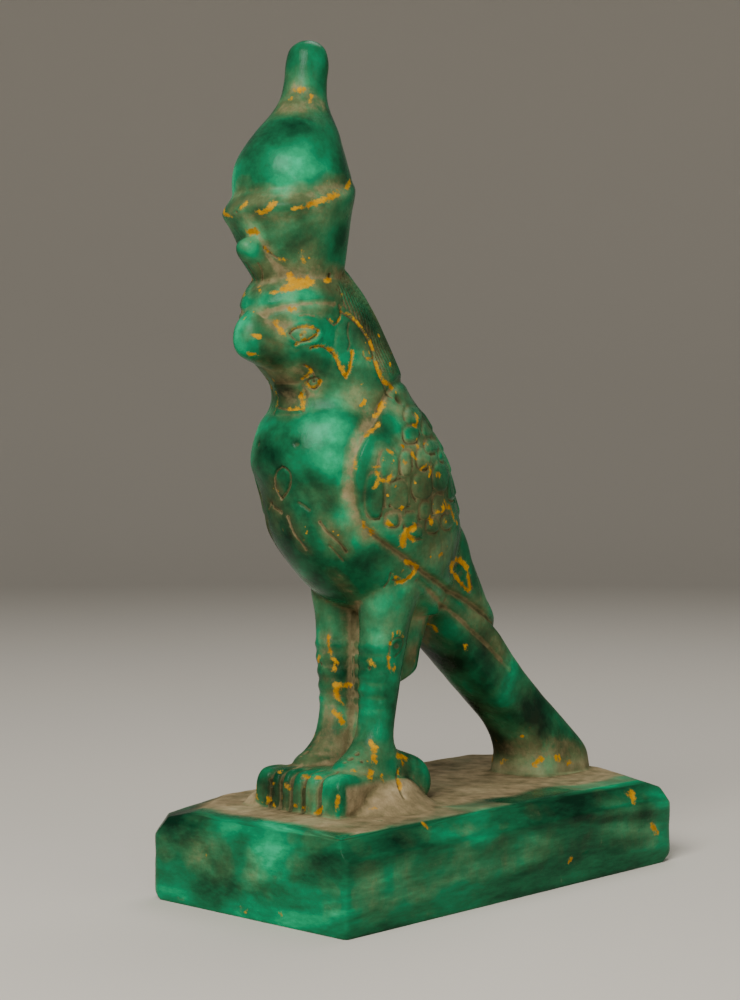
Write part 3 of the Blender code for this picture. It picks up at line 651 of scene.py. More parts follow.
# Where brown dust is packed, as a width in steps and places in the frame
DUSTED = (
    (1.4, ((386, 392), (378, 409), (368, 425), (358, 441), (352.5, 457), (350.5, 474), (351, 490))),
    (1.5, ((351, 490), (355, 508), (363, 524), (373, 534))),
    (0.7, ((373, 534), (388, 545), (402, 554), (423, 571), (440, 582), (457, 593), (470, 603), (482, 613))),
    (1.4, ((428, 592), (447, 606), (465, 622), (484, 643))),
    (1.6, ((268, 319), (276, 324), (285, 331))),
    (1.2, ((260, 318), (268, 313), (280, 310))),
    (1.1, ((266, 314), (280, 310), (300, 308), (328, 307))),
    (1.6, ((250, 293), (262, 288), (276, 284), (292, 280))),
    (1.6, ((300, 278), (320, 282), (334, 290))),
    (2.0, ((264, 272), (276, 272), (292, 272))),
    (1.2, ((266, 250), (273, 260))),
    (1.6, ((302, 266), (330, 270), (344, 278))),
    (2.6, ((274, 372), (284, 382), (292, 396))),
    (2.0, ((300, 370), (312, 378), (314, 388))),
    (2.0, ((262, 362), (272, 370))),
    (1.4, ((236, 205), (262, 201), (290, 200), (318, 195), (344, 181))),
    (0.5, ((230, 212), (262, 216), (300, 213), (335, 201), (349, 190))),
    (1.4, ((284, 108), (300, 107), (320, 104))),
    (0.9, ((294, 86), (304, 92), (312, 96))),
    (0.8, ((338, 300), (352, 312), (366, 328), (374, 346), (379, 364), (388, 384))),
    (1.4, ((332, 572), (345, 586), (355, 606), (357, 640))),
    (1.6, ((357, 640), (356, 690), (355, 735))),
    (3.4, ((325, 744), (308, 758), (290, 765))),
    (2.6, ((346, 742), (332, 762))),
    (3.0, ((498, 756), (525, 750), (560, 750), (588, 758))),
    (1.6, ((324, 640), (330, 690), (327, 735))),
    (1.6, ((414, 646), (410, 668), (402, 674))),
    (1.2, ((420, 612), (424, 640), (420, 660))),
    (1.1, ((274, 480), (281, 498))),
    (1.2, ((288, 516), (294, 533), (306, 549))),
    (1.5, ((322, 522), (332, 536), (346, 551))),
    (1.2, ((270, 502), (281, 511))),
    (1.0, ((380, 447), (376, 462), (372, 470))),
    (1.2, ((398, 440), (410, 447), (424, 441))),
    (1.1, ((398, 478), (410, 466), (430, 470))),
    (1.2, ((386, 512), (408, 503), (412, 498))),
    (1.2, ((400, 520), (418, 500), (440, 496))),
    (1.3, ((420, 520), (432, 515), (446, 512))),
    (2.0, ((470, 598), (484, 625), (500, 655))),
)

# Dust lies on level stone at the plinth's top. Its line wanders along the near side and the front, and
# each bend moves it out by so much between two places along y.
LEVEL = (0.75, 0.95)
SHELF_FROM = (-1.6, -0.4)
SHELF_TO = (1.5, 4.0)
SIDE_LINE = 28.0
SIDE_BENDS = ((-7.5, -38.0, -14.0), (3.5, 22.0, 45.0))
SIDE_WANDER = ((2.0, 12.0, 21),)
FRONT_LINE = -56.0
FRONT_WANDER = ((1.5, 12.0, 22),)
LINE_FADE = 1.5
# It covers the banks beside the feet, the foot of the tail and the heap
ON_PLINTH = (-0.6, 0.0)
BANK_OUT = (11.6, 12.6)
BANK_FROM = (-43.4, -42.4)
BANK_TO = -2.0
BANK_TOP = (5.6, 7.4)
SKIRT = 0.6
SKIRT_FROM = 25.0
SKIRT_TOP = (1.0, 5.0)
SKIRT_WANDER = ((1.0, 6.0, 23),)
HEAP_REACH = (4.5, 6.0)
HEAP_TOP = (3.0, 4.0)
HEAP_LEVEL = (0.2, 0.5)

# How cuts, bowls and nooks are measured: passes of smoothing, rays and their reach, and gain
CLOSE_PASSES = 5
WIDE_PASSES = 60
NOOK_PASSES = 3
NOOK_REACH = 14.0 * STEP
NOOK_LIFT = 0.0003
NOOK_OUTWARD = 1.05
NOOK_RAYS = 12
CUT_GAIN = 6.0
BOWL_GAIN = 1.2
STROKE_REACH = 3.0
PACKED_EDGE = (-0.8, 1.6)
# How much the pale patches, painted highlights among them, thin the soiling, and the most soiling there can
# be
FILM_THINNED_WHERE_PALE = 0.5
MOST_SOILED = 1.5

# How finely the figure is made: points round a ring, and rows put in between two given ones
RING_POINTS = 72
BETWEEN = 8
EDGE_BETWEEN = 4
SIGHT_BETWEEN = 3
# Lines this far out from the middle have a twin on the far flank
TWINNED_FROM = 3.0
VOXEL = 0.36 * STEP
SMOOTH_PASSES = 9
TRIANGLES = 194000
FLAT_TRIM = 0.0003
# An unevenness is a sum of waves whose lengths are this many times its size
WAVE_SPREAD = (1.2, 2.8)
WAVE_HEIGHT = 0.9

# The studio, in metres: the floor, and the lamps by degrees round from the front and up, how far
# away and how wide they are, and their watts
FLOOR_RADIUS = 1.3
FLOOR_SIDES = 96
SWEEP = 0.7
SWEEP_BANDS = 9
AIR = "e8e6e2"
AIR_STRENGTH = 0.2
LAMPS_AIM = 0.1
LAMPS = (
    ("key_softbox", 22.0, 36.0, 0.85, 0.40, 9.0),
    ("fill_softbox", 95.0, 15.0, 1.0, 0.6, 1.6),
    ("top_softbox", 200.0, 62.0, 0.9, 0.5, 2.5),
    ("catch_light", 52.0, 8.0, 0.9, 0.05, 0.8),
)
# The camera's sensor, in millimetres, and how near it sees, in metres
SENSOR = 36.0
NEAREST = 0.01

# Where each kind of carving fades in: heights, distance from the spine, and how far the skin faces
ABOVE_SHINS = (27.0, 31.0)
ABOVE_BELLY = 60.0
BELOW_THROAT = (100.0, 101.0)
OFF_SPINE = (4.0, 6.0)
ABOVE_UNDERSIDE = (-22.0, -20.5)
FACING_SIDE = (0.2, 0.45)
FACING_FRONT = (0.3, 0.6)
SCALES_FACING = (0.35, 0.7)


def smoothstep(low, high, value):
    share = np.clip((value - low) / (high - low), 0.0, 1.0)
    return share * share * (3.0 - 2.0 * share)


def eased(rows, between=BETWEEN):
    """The rows with smooth ones put in between, on a spline through them all."""
    rows = np.array(rows, float)
    padded = np.vstack([rows[:1], rows, rows[-1:]])
    parts = []
    for a, b, c, d in zip(padded, padded[1:], padded[2:], padded[3:]):
        for t in np.arange(between) / between:
            bend = (2.0 * a - 5.0 * b + 4.0 * c - d) * t**2 + (3.0 * b - a - 3.0 * c + d) * t**3
            parts.append(b + 0.5 * ((c - a) * t + bend))
    parts.append(rows[-1])
    return np.array(parts)


def in_metres(steps):
    """Places given in steps, as metres in the part's frame."""
    return np.asarray(steps) * STEP + (0.0, FIGURE_SHIFT, PLINTH_HEIGHT)


def in_steps(places):
    return (np.asarray(places) - (0.0, FIGURE_SHIFT, PLINTH_HEIGHT)) / STEP


# The rough masses


def lay_ring(mesh, row, side=0.0, upright=False, square=2.0, capped=False):
    """One ring of a body, level or upright and facing along Y. Returns its points."""
    y, height, half_width, half_depth = row
    verts = bmesh.ops.create_circle(mesh, cap_ends=capped, segments=RING_POINTS, radius=1.0)["verts"]
    for vert in verts:
        vert.co.x = math.copysign(abs(vert.co.x) ** (2.0 / square), vert.co.x)
        vert.co.y = math.copysign(abs(vert.co.y) ** (2.0 / square), vert.co.y)
    place = Matrix.Translation(in_metres((side, y, height)).tolist())
    if upright:
        place @= Matrix.Rotation(math.radians(90.0), 4, "X")
    place @= Matrix.Diagonal((half_width * STEP, half_depth * STEP, 1.0, 1.0))
    bmesh.ops.transform(mesh, matrix=place, verts=verts)
    return verts


def body(whole, rows, sides=None, upright=False, square=2.0, rim_rise=0.0):
    """Bridges a stack of rings into one closed body and adds it to the whole."""
    rows = eased(rows)
    sides = np.zeros(len(rows)) if sides is None else sides
    lowest = rows[:, 1].min()
    mesh = bmesh.new()
    before = None
    for i, row in enumerate(rows):
        verts = lay_ring(mesh, row, sides[i], upright, square, capped=i in (0, len(rows) - 1))
        if rim_rise:
            share = min((row[1] - lowest) / (RIM_HEIGHT - lowest), 1.0)
            front = min(vert.co.y for vert in verts)
            for vert in verts:
                back = (vert.co.y - front) / (2.0 * row[3] * STEP)
                vert.co.z += rim_rise * STEP * back**2 * share**2
        edges = list({edge for vert in verts for edge in vert.link_edges})
        if before:
            bmesh.ops.bridge_loops(mesh, edges=before + edges)
        before = edges
    bmesh.ops.recalc_face_normals(mesh, faces=mesh.faces)
    join(whole, mesh)


def join(whole, mesh):
    """Adds a finished body to the whole and frees it."""
    held = bpy.data.meshes.new("held")
    mesh.to_mesh(held)
    mesh.free()
    whole.from_mesh(held)
    bpy.data.meshes.remove(held)


def cut_off(block, point, normal):
    """Cuts a block along a plane, drops what lies outside and closes the cut."""
    geometry = block.verts[:] + block.edges[:] + block.faces[:]
    bmesh.ops.bisect_plane(block, geom=geometry, plane_co=point, plane_no=normal, clear_outer=True)
    bmesh.ops.holes_fill(block, edges=[e for e in block.edges if e.is_boundary])


def round_edges(block, chosen, radius, segments):
    edges = [e for e in block.edges if all(chosen(v.co) for v in e.verts)]
    bmesh.ops.bevel(
        block, geom=edges, offset=radius, segments=segments, profile=0.5, affect="EDGES", material=-1
    )


def plinth(whole):
    """The block under the feet, with rounded edges, one chamfered long side and worn corners."""
    block = bmesh.new()
    size = np.array([PLINTH_WIDTH, PLINTH_LENGTH, PLINTH_HEIGHT])
    bmesh.ops.create_cube(block, size=1.0)
    bmesh.ops.scale(block, vec=size, verts=block.verts)
    bmesh.ops.translate(block, vec=(0.0, 0.0, PLINTH_HEIGHT / 2.0), verts=block.verts)
    half_long = PLINTH_LENGTH / 2.0 - HAIR
    round_edges(block, lambda co: co.x > 0.0 and co.y < 0.0, NEAR_CORNER_RADIUS, NEAR_SEGMENTS)
    for x, y in FAR_CORNERS:
        round_edges(block, lambda co: co.x * x > 0.0 and co.y * y > half_long, FAR_CORNER_RADIUS, SEGMENTS)
    top = PLINTH_HEIGHT - HAIR
    right, front = ROUNDED_FROM[0] * PLINTH_WIDTH, ROUNDED_FROM[1] * PLINTH_LENGTH
    round_edges(block, lambda co: co.z > top and (co.x > right or co.y < front), TOP_EDGE_RADIUS, SEGMENTS)
    round_edges(block, lambda co: co.z < HAIR, FOOT_EDGE_RADIUS, FOOT_SEGMENTS)
    chamfer_foot = (PLINTH_WIDTH / 2.0, 0.0, PLINTH_HEIGHT - SIDE_CHAMFER_DROP)
    cut_off(block, chamfer_foot, (SIDE_CHAMFER_DROP, 0.0, SIDE_CHAMFER_REACH))
    for signs, reach in WORN_CORNERS:
        signs, reach = np.array(signs), np.array(reach)
        corner = signs * size / 2.0 + np.array([0.0, 0.0, PLINTH_HEIGHT / 2.0])
        corner[0] -= signs[0] * reach[0]
        cut_off(block, corner, signs / reach)
    join(whole, block)


def rough_masses():
    """All the rough masses of the carving, overlapping, in one mesh."""
    whole = bmesh.new()
    plinth(whole)
    for rows in (WHITE_CROWN, UPPER_SKULL, SKULL, WIG, TORSO, VENT, WEB, SNAKE, BANK):
        body(whole, rows)
    body(whole, TAIL, square=TAIL_SQUARE)
    body(whole, RED_CROWN, rim_rise=RIM_RISE)
    body(whole, BEAK, upright=True)
    body(whole, FEET, upright=True, square=FEET_SQUARE)
    body(whole, HEAP, np.full(len(eased(HEAP)), HEAP_SIDE))
    leg_heights = eased(LEG)[:, 1]
    lean = np.interp(leg_heights, (LEG[5][1], LEG[0][1]), (ANKLE_SPREAD, HIP_SPREAD))
    for side in (-1.0, 1.0):
        body(whole, LEG, side * lean)
        body(whole, HALLUX, np.full(len(eased(HALLUX)), side * ANKLE_SPREAD), upright=True)
    for x, half_width in TOES:
        rows = [(y, height, half_width * share, half_high) for y, height, share, half_high in TOE]
        body(whole, rows, np.full(len(eased(TOE)), x), upright=True, square=TOE_SQUARE)
    held = bpy.data.meshes.new("rough_masses")
    whole.to_mesh(held)
    whole.free()
    return held


# Where things lie


def distance_to_line(points, line):
    """How far each point is from a line through the given places."""
    nearest = np.full(len(points), np.inf)
    for a, b in zip(line, line[1:]):
        run = b - a
        along = np.clip(((points - a) @ run) / max(run @ run, 1e-12), 0.0, 1.0)
        nearest = np.minimum(nearest, np.linalg.norm(points - a - along[:, None] * run, axis=1))
    return nearest


def near_line(points, line, reach):
    """The points within reach of a line's box, and how far they are from the line."""
    low, high = line.min(axis=0) - reach, line.max(axis=0) + reach
    close = np.flatnonzero(((points > low) & (points < high)).all(axis=1))
    return close, distance_to_line(points[close], line)


def inside(points, outline):
    """Whether each 2-D point is inside a closed outline."""
    outline = np.asarray(outline, float)
    result = np.zeros(len(points), bool)
    for a, b in zip(outline, np.roll(outline, -1, axis=0)):
        crosses = (a[1] > points[:, 1]) != (b[1] > points[:, 1])
        rise = b[1] - a[1] if b[1] != a[1] else 1.0
        result ^= crosses & (points[:, 0] < a[0] + (b[0] - a[0]) * (points[:, 1] - a[1]) / rise)
    return result


def past_line(points, line):
    """How far above a line, given from left to right, each 2-D point lies."""
    line = np.array(line)
    return points[:, 1] - np.interp(points[:, 0], line[:, 0], line[:, 1])


def uneven(points, size, seed, waves=16):
    """A smooth unevenness from about -1 to 1, whose humps are about the given size."""
    chance = np.random.default_rng(seed)
    ways = chance.normal(size=(points.shape[1], waves))
    ways /= np.linalg.norm(ways, axis=0)
    ways *= 2.0 * math.pi / (size * chance.uniform(*WAVE_SPREAD, waves))
    turns = points @ ways + chance.uniform(0.0, 2.0 * math.pi, waves)
    return np.cos(turns).sum(axis=1) / math.sqrt(waves) * WAVE_HEIGHT


def roughness(points, kinds):
    """The sum of some kinds of unevenness, each a height, a size and a seed."""
    return sum(height * uneven(points, size, seed) for height, size, seed in kinds)


def view_axes():
    """The camera's place, and its forward, right and up directions."""
    around = math.radians(VIEW_AZIMUTH)
    aim = math.radians(VIEW_AZIMUTH + VIEW_YAW)
    dip = math.radians(VIEW_PITCH)
    eye = Vector((VIEW_DISTANCE * math.sin(around), -VIEW_DISTANCE * math.cos(around), VIEW_HEIGHT))
    forward = Vector((-math.sin(aim) * math.cos(dip), math.cos(aim) * math.cos(dip), math.sin(dip)))
    right = forward.cross(Vector((0.0, 0.0, 1.0))).normalized()
    return eye, forward, right, right.cross(forward)


def struck(tree, place):
    """Where the line of sight through a place in the frame first meets the statue, in metres."""
    eye, forward, right, up = view_axes()
    sight = forward * FOCAL + right * (place[0] - FRAME_WIDTH / 2.0) + up * (FRAME_HEIGHT / 2.0 - place[1])
    return tree.ray_cast(eye, sight.normalized())[0]


def on_both_flanks(tree, places, between=SIGHT_BETWEEN):
    """A line of places in the frame laid on the statue in steps, and its twin on the far flank."""
    places = eased(places, between) if len(places) > 1 else np.array(places, float)
    hits = [struck(tree, place) for place in places]
    line = np.array([hit for hit in hits if hit is not None])
    if not len(line):
        return []
    lines = [in_steps(line)]
    if line[:, 0].min() > TWINNED_FROM * STEP:
        far = [tree.find_nearest(Vector((-x, y, z)))[0] for x, y, z in line]
        lines.append(in_steps(np.array(far)))
    return lines


def oval_on(tree, oval, points=20):
    """An oval in the frame laid on the near flank, as places in the side view."""
    x, y, half_width, half_height = oval
    turn = 2.0 * math.pi * np.arange(points) / points
    across = np.sign(np.cos(turn)) * np.abs(np.cos(turn)) ** (2.0 / SCALE_SQUARE) * half_width
    along = np.sign(np.sin(turn)) * np.abs(np.sin(turn)) ** (2.0 / SCALE_SQUARE) * half_height
    hits = [struck(tree, (x + a, y + b)) for a, b in zip(across, along)]
    return in_steps(np.array([hit for hit in hits if hit is not None]))[:, 1:]


# The carving


def groove(points, line, cut):
    """A cut with a round bottom along a line."""
    width, depth = cut
    relief = np.zeros(len(points))
    close, away = near_line(points, np.asarray(line, float), width / 2.0)
    relief[close] = -depth * 0.5 * (1.0 + np.cos(math.pi * np.clip(away / (width / 2.0), 0.0, 1.0)))
    return relief


def scale_feathers(side_view):
    """Overlapping U-shaped scales in staggered rows, each highest at its tip and cut round."""
    lean = math.radians(SCALE_LEAN)
    across = side_view[:, 0] * math.cos(lean) + side_view[:, 1] * math.sin(lean)
    down = (SCALES_FROM - side_view[:, 1]) * math.cos(lean) + side_view[:, 0] * math.sin(lean)
    half = SCALE_PITCH / 2.0
    cut_width, cut_depth = SCALE_OUTLINE
    height = np.zeros(len(side_view))
    outline = np.full(len(side_view), np.inf)
    bare = np.ones(len(side_view), bool)
    for behind in (-1.0, 0.0, 1.0):
        tier = np.floor(down / SCALE_PITCH) + behind
        offset = np.where(tier % 2.0 == 0.0, 0.0, half)
        off_centre = (across - offset + half) % SCALE_PITCH - half
        run = down - tier * SCALE_PITCH
        arc = SCALE_PITCH * SCALE_SIDES
        below = np.clip(run - arc, 0.0, None)
        margin = half - np.hypot(off_centre, below)
        covers = bare & (margin > 0.0)
        height[covers] = SCALE_RISE * (run[covers] / SCALE_PITCH + 1.0 - SCALE_SIDES)
        outline[bare] = np.minimum(outline[bare], np.abs(margin[bare]))
        bare &= ~covers
    return height - cut_depth * np.exp(-((outline / cut_width) ** 2))


def plumes(side_view):
    """Long feathers that run down towards the wing's tip, plainer in front."""
    lean = math.radians(PLUME_LEAN)
    across = side_view[:, 0] * math.cos(lean) + side_view[:, 1] * math.sin(lean)
    off_centre = (across % PLUME_PITCH) - PLUME_PITCH / 2.0
    share = PLUME_PLAIN + (1.0 - PLUME_PLAIN) * smoothstep(*PLUMES_DEEPEN, side_view[:, 0])
    return -PLUME_DEPTH * share * np.exp(-((off_centre / PLUME_WIDTH) ** 2))


def scales(side_view, near_side):
    """Scales that rise to their lower tips, where they lie in the photograph, drawn on both wings."""
    cut_width, cut_depth = SCALE_OUTLINE
    level, tilt = SCALE_TILT
    relief = np.zeros(len(side_view))
    for outline in near_side:
        half = np.ptp(outline, axis=0) / 2.0 + 2.0 * cut_width
        middle = outline.mean(axis=0)
        close = np.flatnonzero((np.abs(side_view - middle) < half).all(axis=1))
        away = distance_to_line(side_view[close], np.vstack([outline, outline[:1]]))
        margin = np.where(inside(side_view[close], outline), away, -away)
        low = np.clip(0.5 - (side_view[close, 1] - middle[1]) / (2.0 * half[1]), 0.0, 1.0)
        dome = SCALE_RISE * (level + tilt * low) * smoothstep(0.0, SCALE_DOME, margin)
        cut = cut_depth * (SCALE_TOP_CUT + low) * np.exp(-((away / cut_width) ** 2))
        relief[close] = np.maximum(relief[close], dome) - cut
    return relief


def wings(side_view, flank, turned, near_side):
    """The folded wing: a raised panel behind a worn valley, with scales and plumes on it."""
    edge = eased(WING_EDGE, EDGE_BETWEEN)
    outline = np.vstack([edge, WING_BACK])
    away = distance_to_line(side_view, edge)
    within = inside(side_view, outline)
    panel = np.where(within, away, -away)
    relief = WING_RAISE * smoothstep(*WING_RIM, panel)
    relief *= 1.0 - smoothstep(*WING_TOP, side_view[:, 1])
    low = smoothstep(*WING_TURN, side_view[:, 0])
    for (outward, width, depth), share in ((WING_VALLEY, 1.0 - low), (WING_CUT, low)):
        relief -= share * depth * np.exp(-(((panel + outward) / (width / 2.0)) ** 2))
    relief += scales(side_view, near_side) * smoothstep(0.0, 1.0, panel) * turned
    wander = np.column_stack([uneven(side_view, size, seed) for size, seed in WANDERS])
    drawn = side_view + HAND_WANDER * wander
    plain = smoothstep(*SHOULDER_FADE, past_line(side_view, SHOULDER))
    feathered = smoothstep(*FEATHERED, panel) * (1.0 - plain)
    behind = smoothstep(-1.0, 1.0, past_line(side_view, HIDDEN_FROM))
    high = smoothstep(SCALES_TO - 1.0, SCALES_TO + 1.0, side_view[:, 1])
    relief += feathered * (high * behind * scale_feathers(drawn) + (1.0 - high) * plumes(drawn))
    relief += groove(side_view, eased(COVERT_EDGE, EDGE_BETWEEN), COVERT_CUT)
    return relief * flank


def locks(steps):
    """The wig's scored lines, which run down from the crown all round the back of the head."""
    axis = np.interp(steps[:, 2], [row[1] for row in WIG[::-1]], [row[0] for row in WIG[::-1]])
    turn = np.arctan2(steps[:, 0], steps[:, 1] - axis) + roughness(steps, LOCK_WANDER)
    lines = smoothstep(*LOCK_SHAPE, np.cos(turn * LOCKS))
    return -LOCK_DEPTH * lines * inside(steps[:, 1:], WIG_REGION)


def face(side_view, flank):
    """Brow, beak slit, eyeball, its lid and the hollows round them."""
    relief = groove(side_view, eased(BROW, EDGE_BETWEEN), BROW_CUT)
    relief += groove(side_view, eased(MOUTH, EDGE_BETWEEN), MOUTH_CUT)
    ball = np.linalg.norm((side_view - EYE_CENTRE) / (EYE_HALF_LENGTH, EYE_HALF_HEIGHT), axis=1)
    relief += EYE_BULGE * (1.0 - smoothstep(0.0, 1.0, ball))
    lid_out, lid_width, lid_rise = LID
    relief += lid_rise * np.exp(-(((ball - lid_out) / lid_width) ** 2))
    for y, z, half_length, half_height, depth in HOLLOWS:
        off = np.linalg.norm((side_view - (y, z)) / (half_length, half_height), axis=1)
        relief -= depth * (1.0 - smoothstep(0.0, 1.0, off))
    return relief * flank


def bib(steps, facing):
    """The raised tab under the beak."""
    x, z, half_width, half_height = BIB
    away = np.maximum(np.abs(steps[:, 0] - x) - half_width, np.abs(steps[:, 2] - z) - half_height)
    return BIB_RAISE * (1.0 - smoothstep(-BIB_EDGE, BIB_EDGE, away)) * facing


def toe_gaps(steps):
    """The deep cuts between the toes, over their tips and down their fronts."""
    width, depth = TOE_GAP
    ahead = 1.0 - smoothstep(*TOES_BEHIND, steps[:, 1])
    standing = smoothstep(*TOES_STAND, steps[:, 2]) * (steps[:, 2] < TOES_HIGH)
    relief = np.zeros(len(steps))
    for (centre, half), (beyond, half_beyond) in zip(TOES, TOES[1:]):
        gap = (centre + half + beyond - half_beyond) / 2.0
        relief -= depth * np.exp(-(((steps[:, 0] - gap) / width) ** 2))
    return relief * ahead * standing


def shin_knobs(steps, facing):
    """The row of small knobs down the front of each shin."""
    low, high = SHIN_KNOBS
    height = steps[:, 2]
    span = smoothstep(low, low + KNOBS_FADE, height) * (1.0 - smoothstep(high - KNOBS_FADE, high, height))
    wave = 0.5 + 0.5 * np.cos(2.0 * math.pi * height / KNOB_PITCH)
    return KNOB_RISE * wave * span * facing * (steps[:, 1] < SHIN_FRONT)


def worked_by_hand(steps):
    """The slight unevenness that scraping and grinding by hand leaves, more on the plinth."""
    on_block = 1.0 - smoothstep(*BLOCK_TOP, steps[:, 2])
    along = np.column_stack([steps[:, 1] * SCRAPE_STRETCH, steps[:, 2]])
    relief = roughness(steps, HAND_WORK) + on_block * roughness(steps, BLOCK_WORK)
    relief += on_block * roughness(along, SCRAPES)
    return relief * smoothstep(*ABOVE_UNDERSIDE, steps[:, 2])


def skin_of(mesh):
    """Places and outward directions of a mesh's points, in metres."""
    count = len(mesh.vertices)
    place = np.empty(count * 3, np.float32)
    normal = np.empty(count * 3, np.float32)
    mesh.vertices.foreach_get("co", place)
    mesh.vertices.foreach_get("normal", normal)
    return place.reshape(-1, 3).astype(float), normal.reshape(-1, 3).astype(float)


def tree_of(mesh):
    held = bmesh.new()
    held.from_mesh(mesh)
    tree = BVHTree.FromBMesh(held)
    held.free()
    return tree


def carve(mesh):
    """Moves the skin in and out along its normals, where the carving lies."""
    place, normal = skin_of(mesh)
    steps = in_steps(place)
    side_view = steps[:, 1:]
    height = steps[:, 2]
    flank = smoothstep(*FACING_SIDE, np.abs(normal[:, 0])) * smoothstep(*ABOVE_SHINS, height)
    facing = smoothstep(*FACING_FRONT, -normal[:, 1])
    throat = facing * (1.0 - smoothstep(*BELOW_THROAT, height)) * (height > ABOVE_BELLY)
    tree = tree_of(mesh)
    near_side = [oval_on(tree, oval) for oval in SCALES]
    off_spine = smoothstep(*OFF_SPINE, np.abs(steps[:, 0]))
    turned = smoothstep(*SCALES_FACING, np.abs(normal[:, 0]))
    relief = wings(side_view, flank * off_spine, turned, near_side)
    relief += face(side_view, flank)
    relief += locks(steps)
    relief += bib(steps, throat)
    relief += shin_knobs(steps, facing)
    relief += toe_gaps(steps)
    relief += worked_by_hand(steps)
    for width, depth, places in SCORED:
        for line in on_both_flanks(tree, places):
            relief += groove(steps, line, (width, depth))
    for x, y, radius, depth in PITS:
        for line in on_both_flanks(tree, ((x, y),)):
            away = np.linalg.norm(steps - line[0], axis=1)
            relief -= depth * (1.0 - smoothstep(PIT_FLOOR * radius, radius, away))
    place += normal * (relief * STEP)[:, None]
    mesh.vertices.foreach_set("co", np.round(place, 7).astype(np.float32).ravel())
    mesh.update()


def evaluated(obj):
    """The object's mesh with its modifiers applied."""
    bpy.context.view_layer.update()
    graph = bpy.context.evaluated_depsgraph_get()
    return bpy.data.meshes.new_from_object(obj.evaluated_get(graph))


def flat_underside(mesh):
    """Trims a hair off the bottom, so that the statue stands on one true plane."""
    block = bmesh.new()
    block.from_mesh(mesh)
    cut_off(block, (0.0, 0.0, FLAT_TRIM), (0.0, 0.0, -1.0))
    bmesh.ops.translate(block, vec=(0.0, 0.0, -FLAT_TRIM), verts=block.verts)
    bmesh.ops.triangulate(block, faces=[f for f in block.faces if len(f.verts) > 3])
    block.to_mesh(mesh)
    block.free()


# What lies on the stone


def softened(values, pairs, count, passes):
    """Values at each point evened out with their neighbours'."""
    a, b = pairs[:, 0], pairs[:, 1]
    share = np.bincount(a, minlength=count) + np.bincount(b, minlength=count)
    for _ in range(passes):
        total = np.zeros_like(values)
        for axis in range(values.shape[1]):
            total[:, axis] = np.bincount(a, values[b, axis], count) + np.bincount(b, values[a, axis], count)
        values = 0.5 * values + 0.5 * total / share[:, None]
    return values


def shelter(tree, place, normal):
    """How much of the open air in front of each point is blocked close by."""
    chance = np.random.default_rng(3)
    ways = chance.normal(size=(NOOK_RAYS, 3))
    ways /= np.linalg.norm(ways, axis=1)[:, None]
    blocked = np.zeros(len(place))
    start = place + normal * NOOK_LIFT
    for way in ways:
        toward = way[None, :] + normal * NOOK_OUTWARD
        toward /= np.linalg.norm(toward, axis=1)[:, None]
        for i, (origin, direction) in enumerate(zip(start.tolist(), toward.tolist())):
            if tree.ray_cast(origin, direction, NOOK_REACH)[0] is not None:
                blocked[i] += 1.0
    return blocked / NOOK_RAYS


def patches(tree, steps, spots):
    """How strongly broad round patches cover each point, the strongest counting."""
    cover = np.zeros(len(steps))
    for x, y, radius, strength in spots:
        for line in on_both_flanks(tree, ((x, y),)):
            away = np.linalg.norm(steps - line[0], axis=1)
            cover = np.maximum(cover, strength * np.exp(-((away / radius) ** 2)))
    return cover


def drawn_on(tree, steps, strokes):
    """How far each point is outside the nearest of some strokes, which have widths."""
    outside = np.full(len(steps), STROKE_REACH)
    for width, places in strokes:
        for line in on_both_flanks(tree, places):
            near, away = near_line(steps, line, width + STROKE_REACH)
            outside[near] = np.minimum(outside[near], away - width)
    return outside


def settled(steps, upward):
    """How thickly loose dust lies on the plinth's top, the banks, the foot of the tail and the heap."""
    x, y, height = steps.T
    above = smoothstep(*ON_PLINTH, height)
    shelf = smoothstep(*LEVEL, upward) * smoothstep(*SHELF_FROM, height)
    shelf *= 1.0 - smoothstep(*SHELF_TO, height)
    side = SIDE_LINE + roughness(steps[:, 1:2], SIDE_WANDER)
    for reach, start, end in SIDE_BENDS:
        side += reach * smoothstep(start, end, y)
    front = FRONT_LINE + roughness(steps[:, :1], FRONT_WANDER)
    shelf *= 1.0 - smoothstep(-LINE_FADE, LINE_FADE, x - side)
    shelf *= smoothstep(-LINE_FADE, LINE_FADE, y - front)
    banks = smoothstep(*BANK_OUT, np.abs(x)) * smoothstep(*BANK_FROM, y) * (y < BANK_TO)
    banks *= (1.0 - smoothstep(*BANK_TOP, height)) * above
    low, high = SKIRT_TOP
    skirt = 1.0 - smoothstep(low, high + roughness(steps, SKIRT_WANDER), height)
    skirt = SKIRT * skirt * (y > SKIRT_FROM) * above
    away = np.linalg.norm(steps[:, :2] - (HEAP_SIDE, HEAP[0][0]), axis=1)
    heap = (1.0 - smoothstep(*HEAP_REACH, away)) * (1.0 - smoothstep(*HEAP_TOP, height))
    heap *= smoothstep(*HEAP_LEVEL, upward)
    return np.maximum.reduce((shelf, banks, skirt, heap))


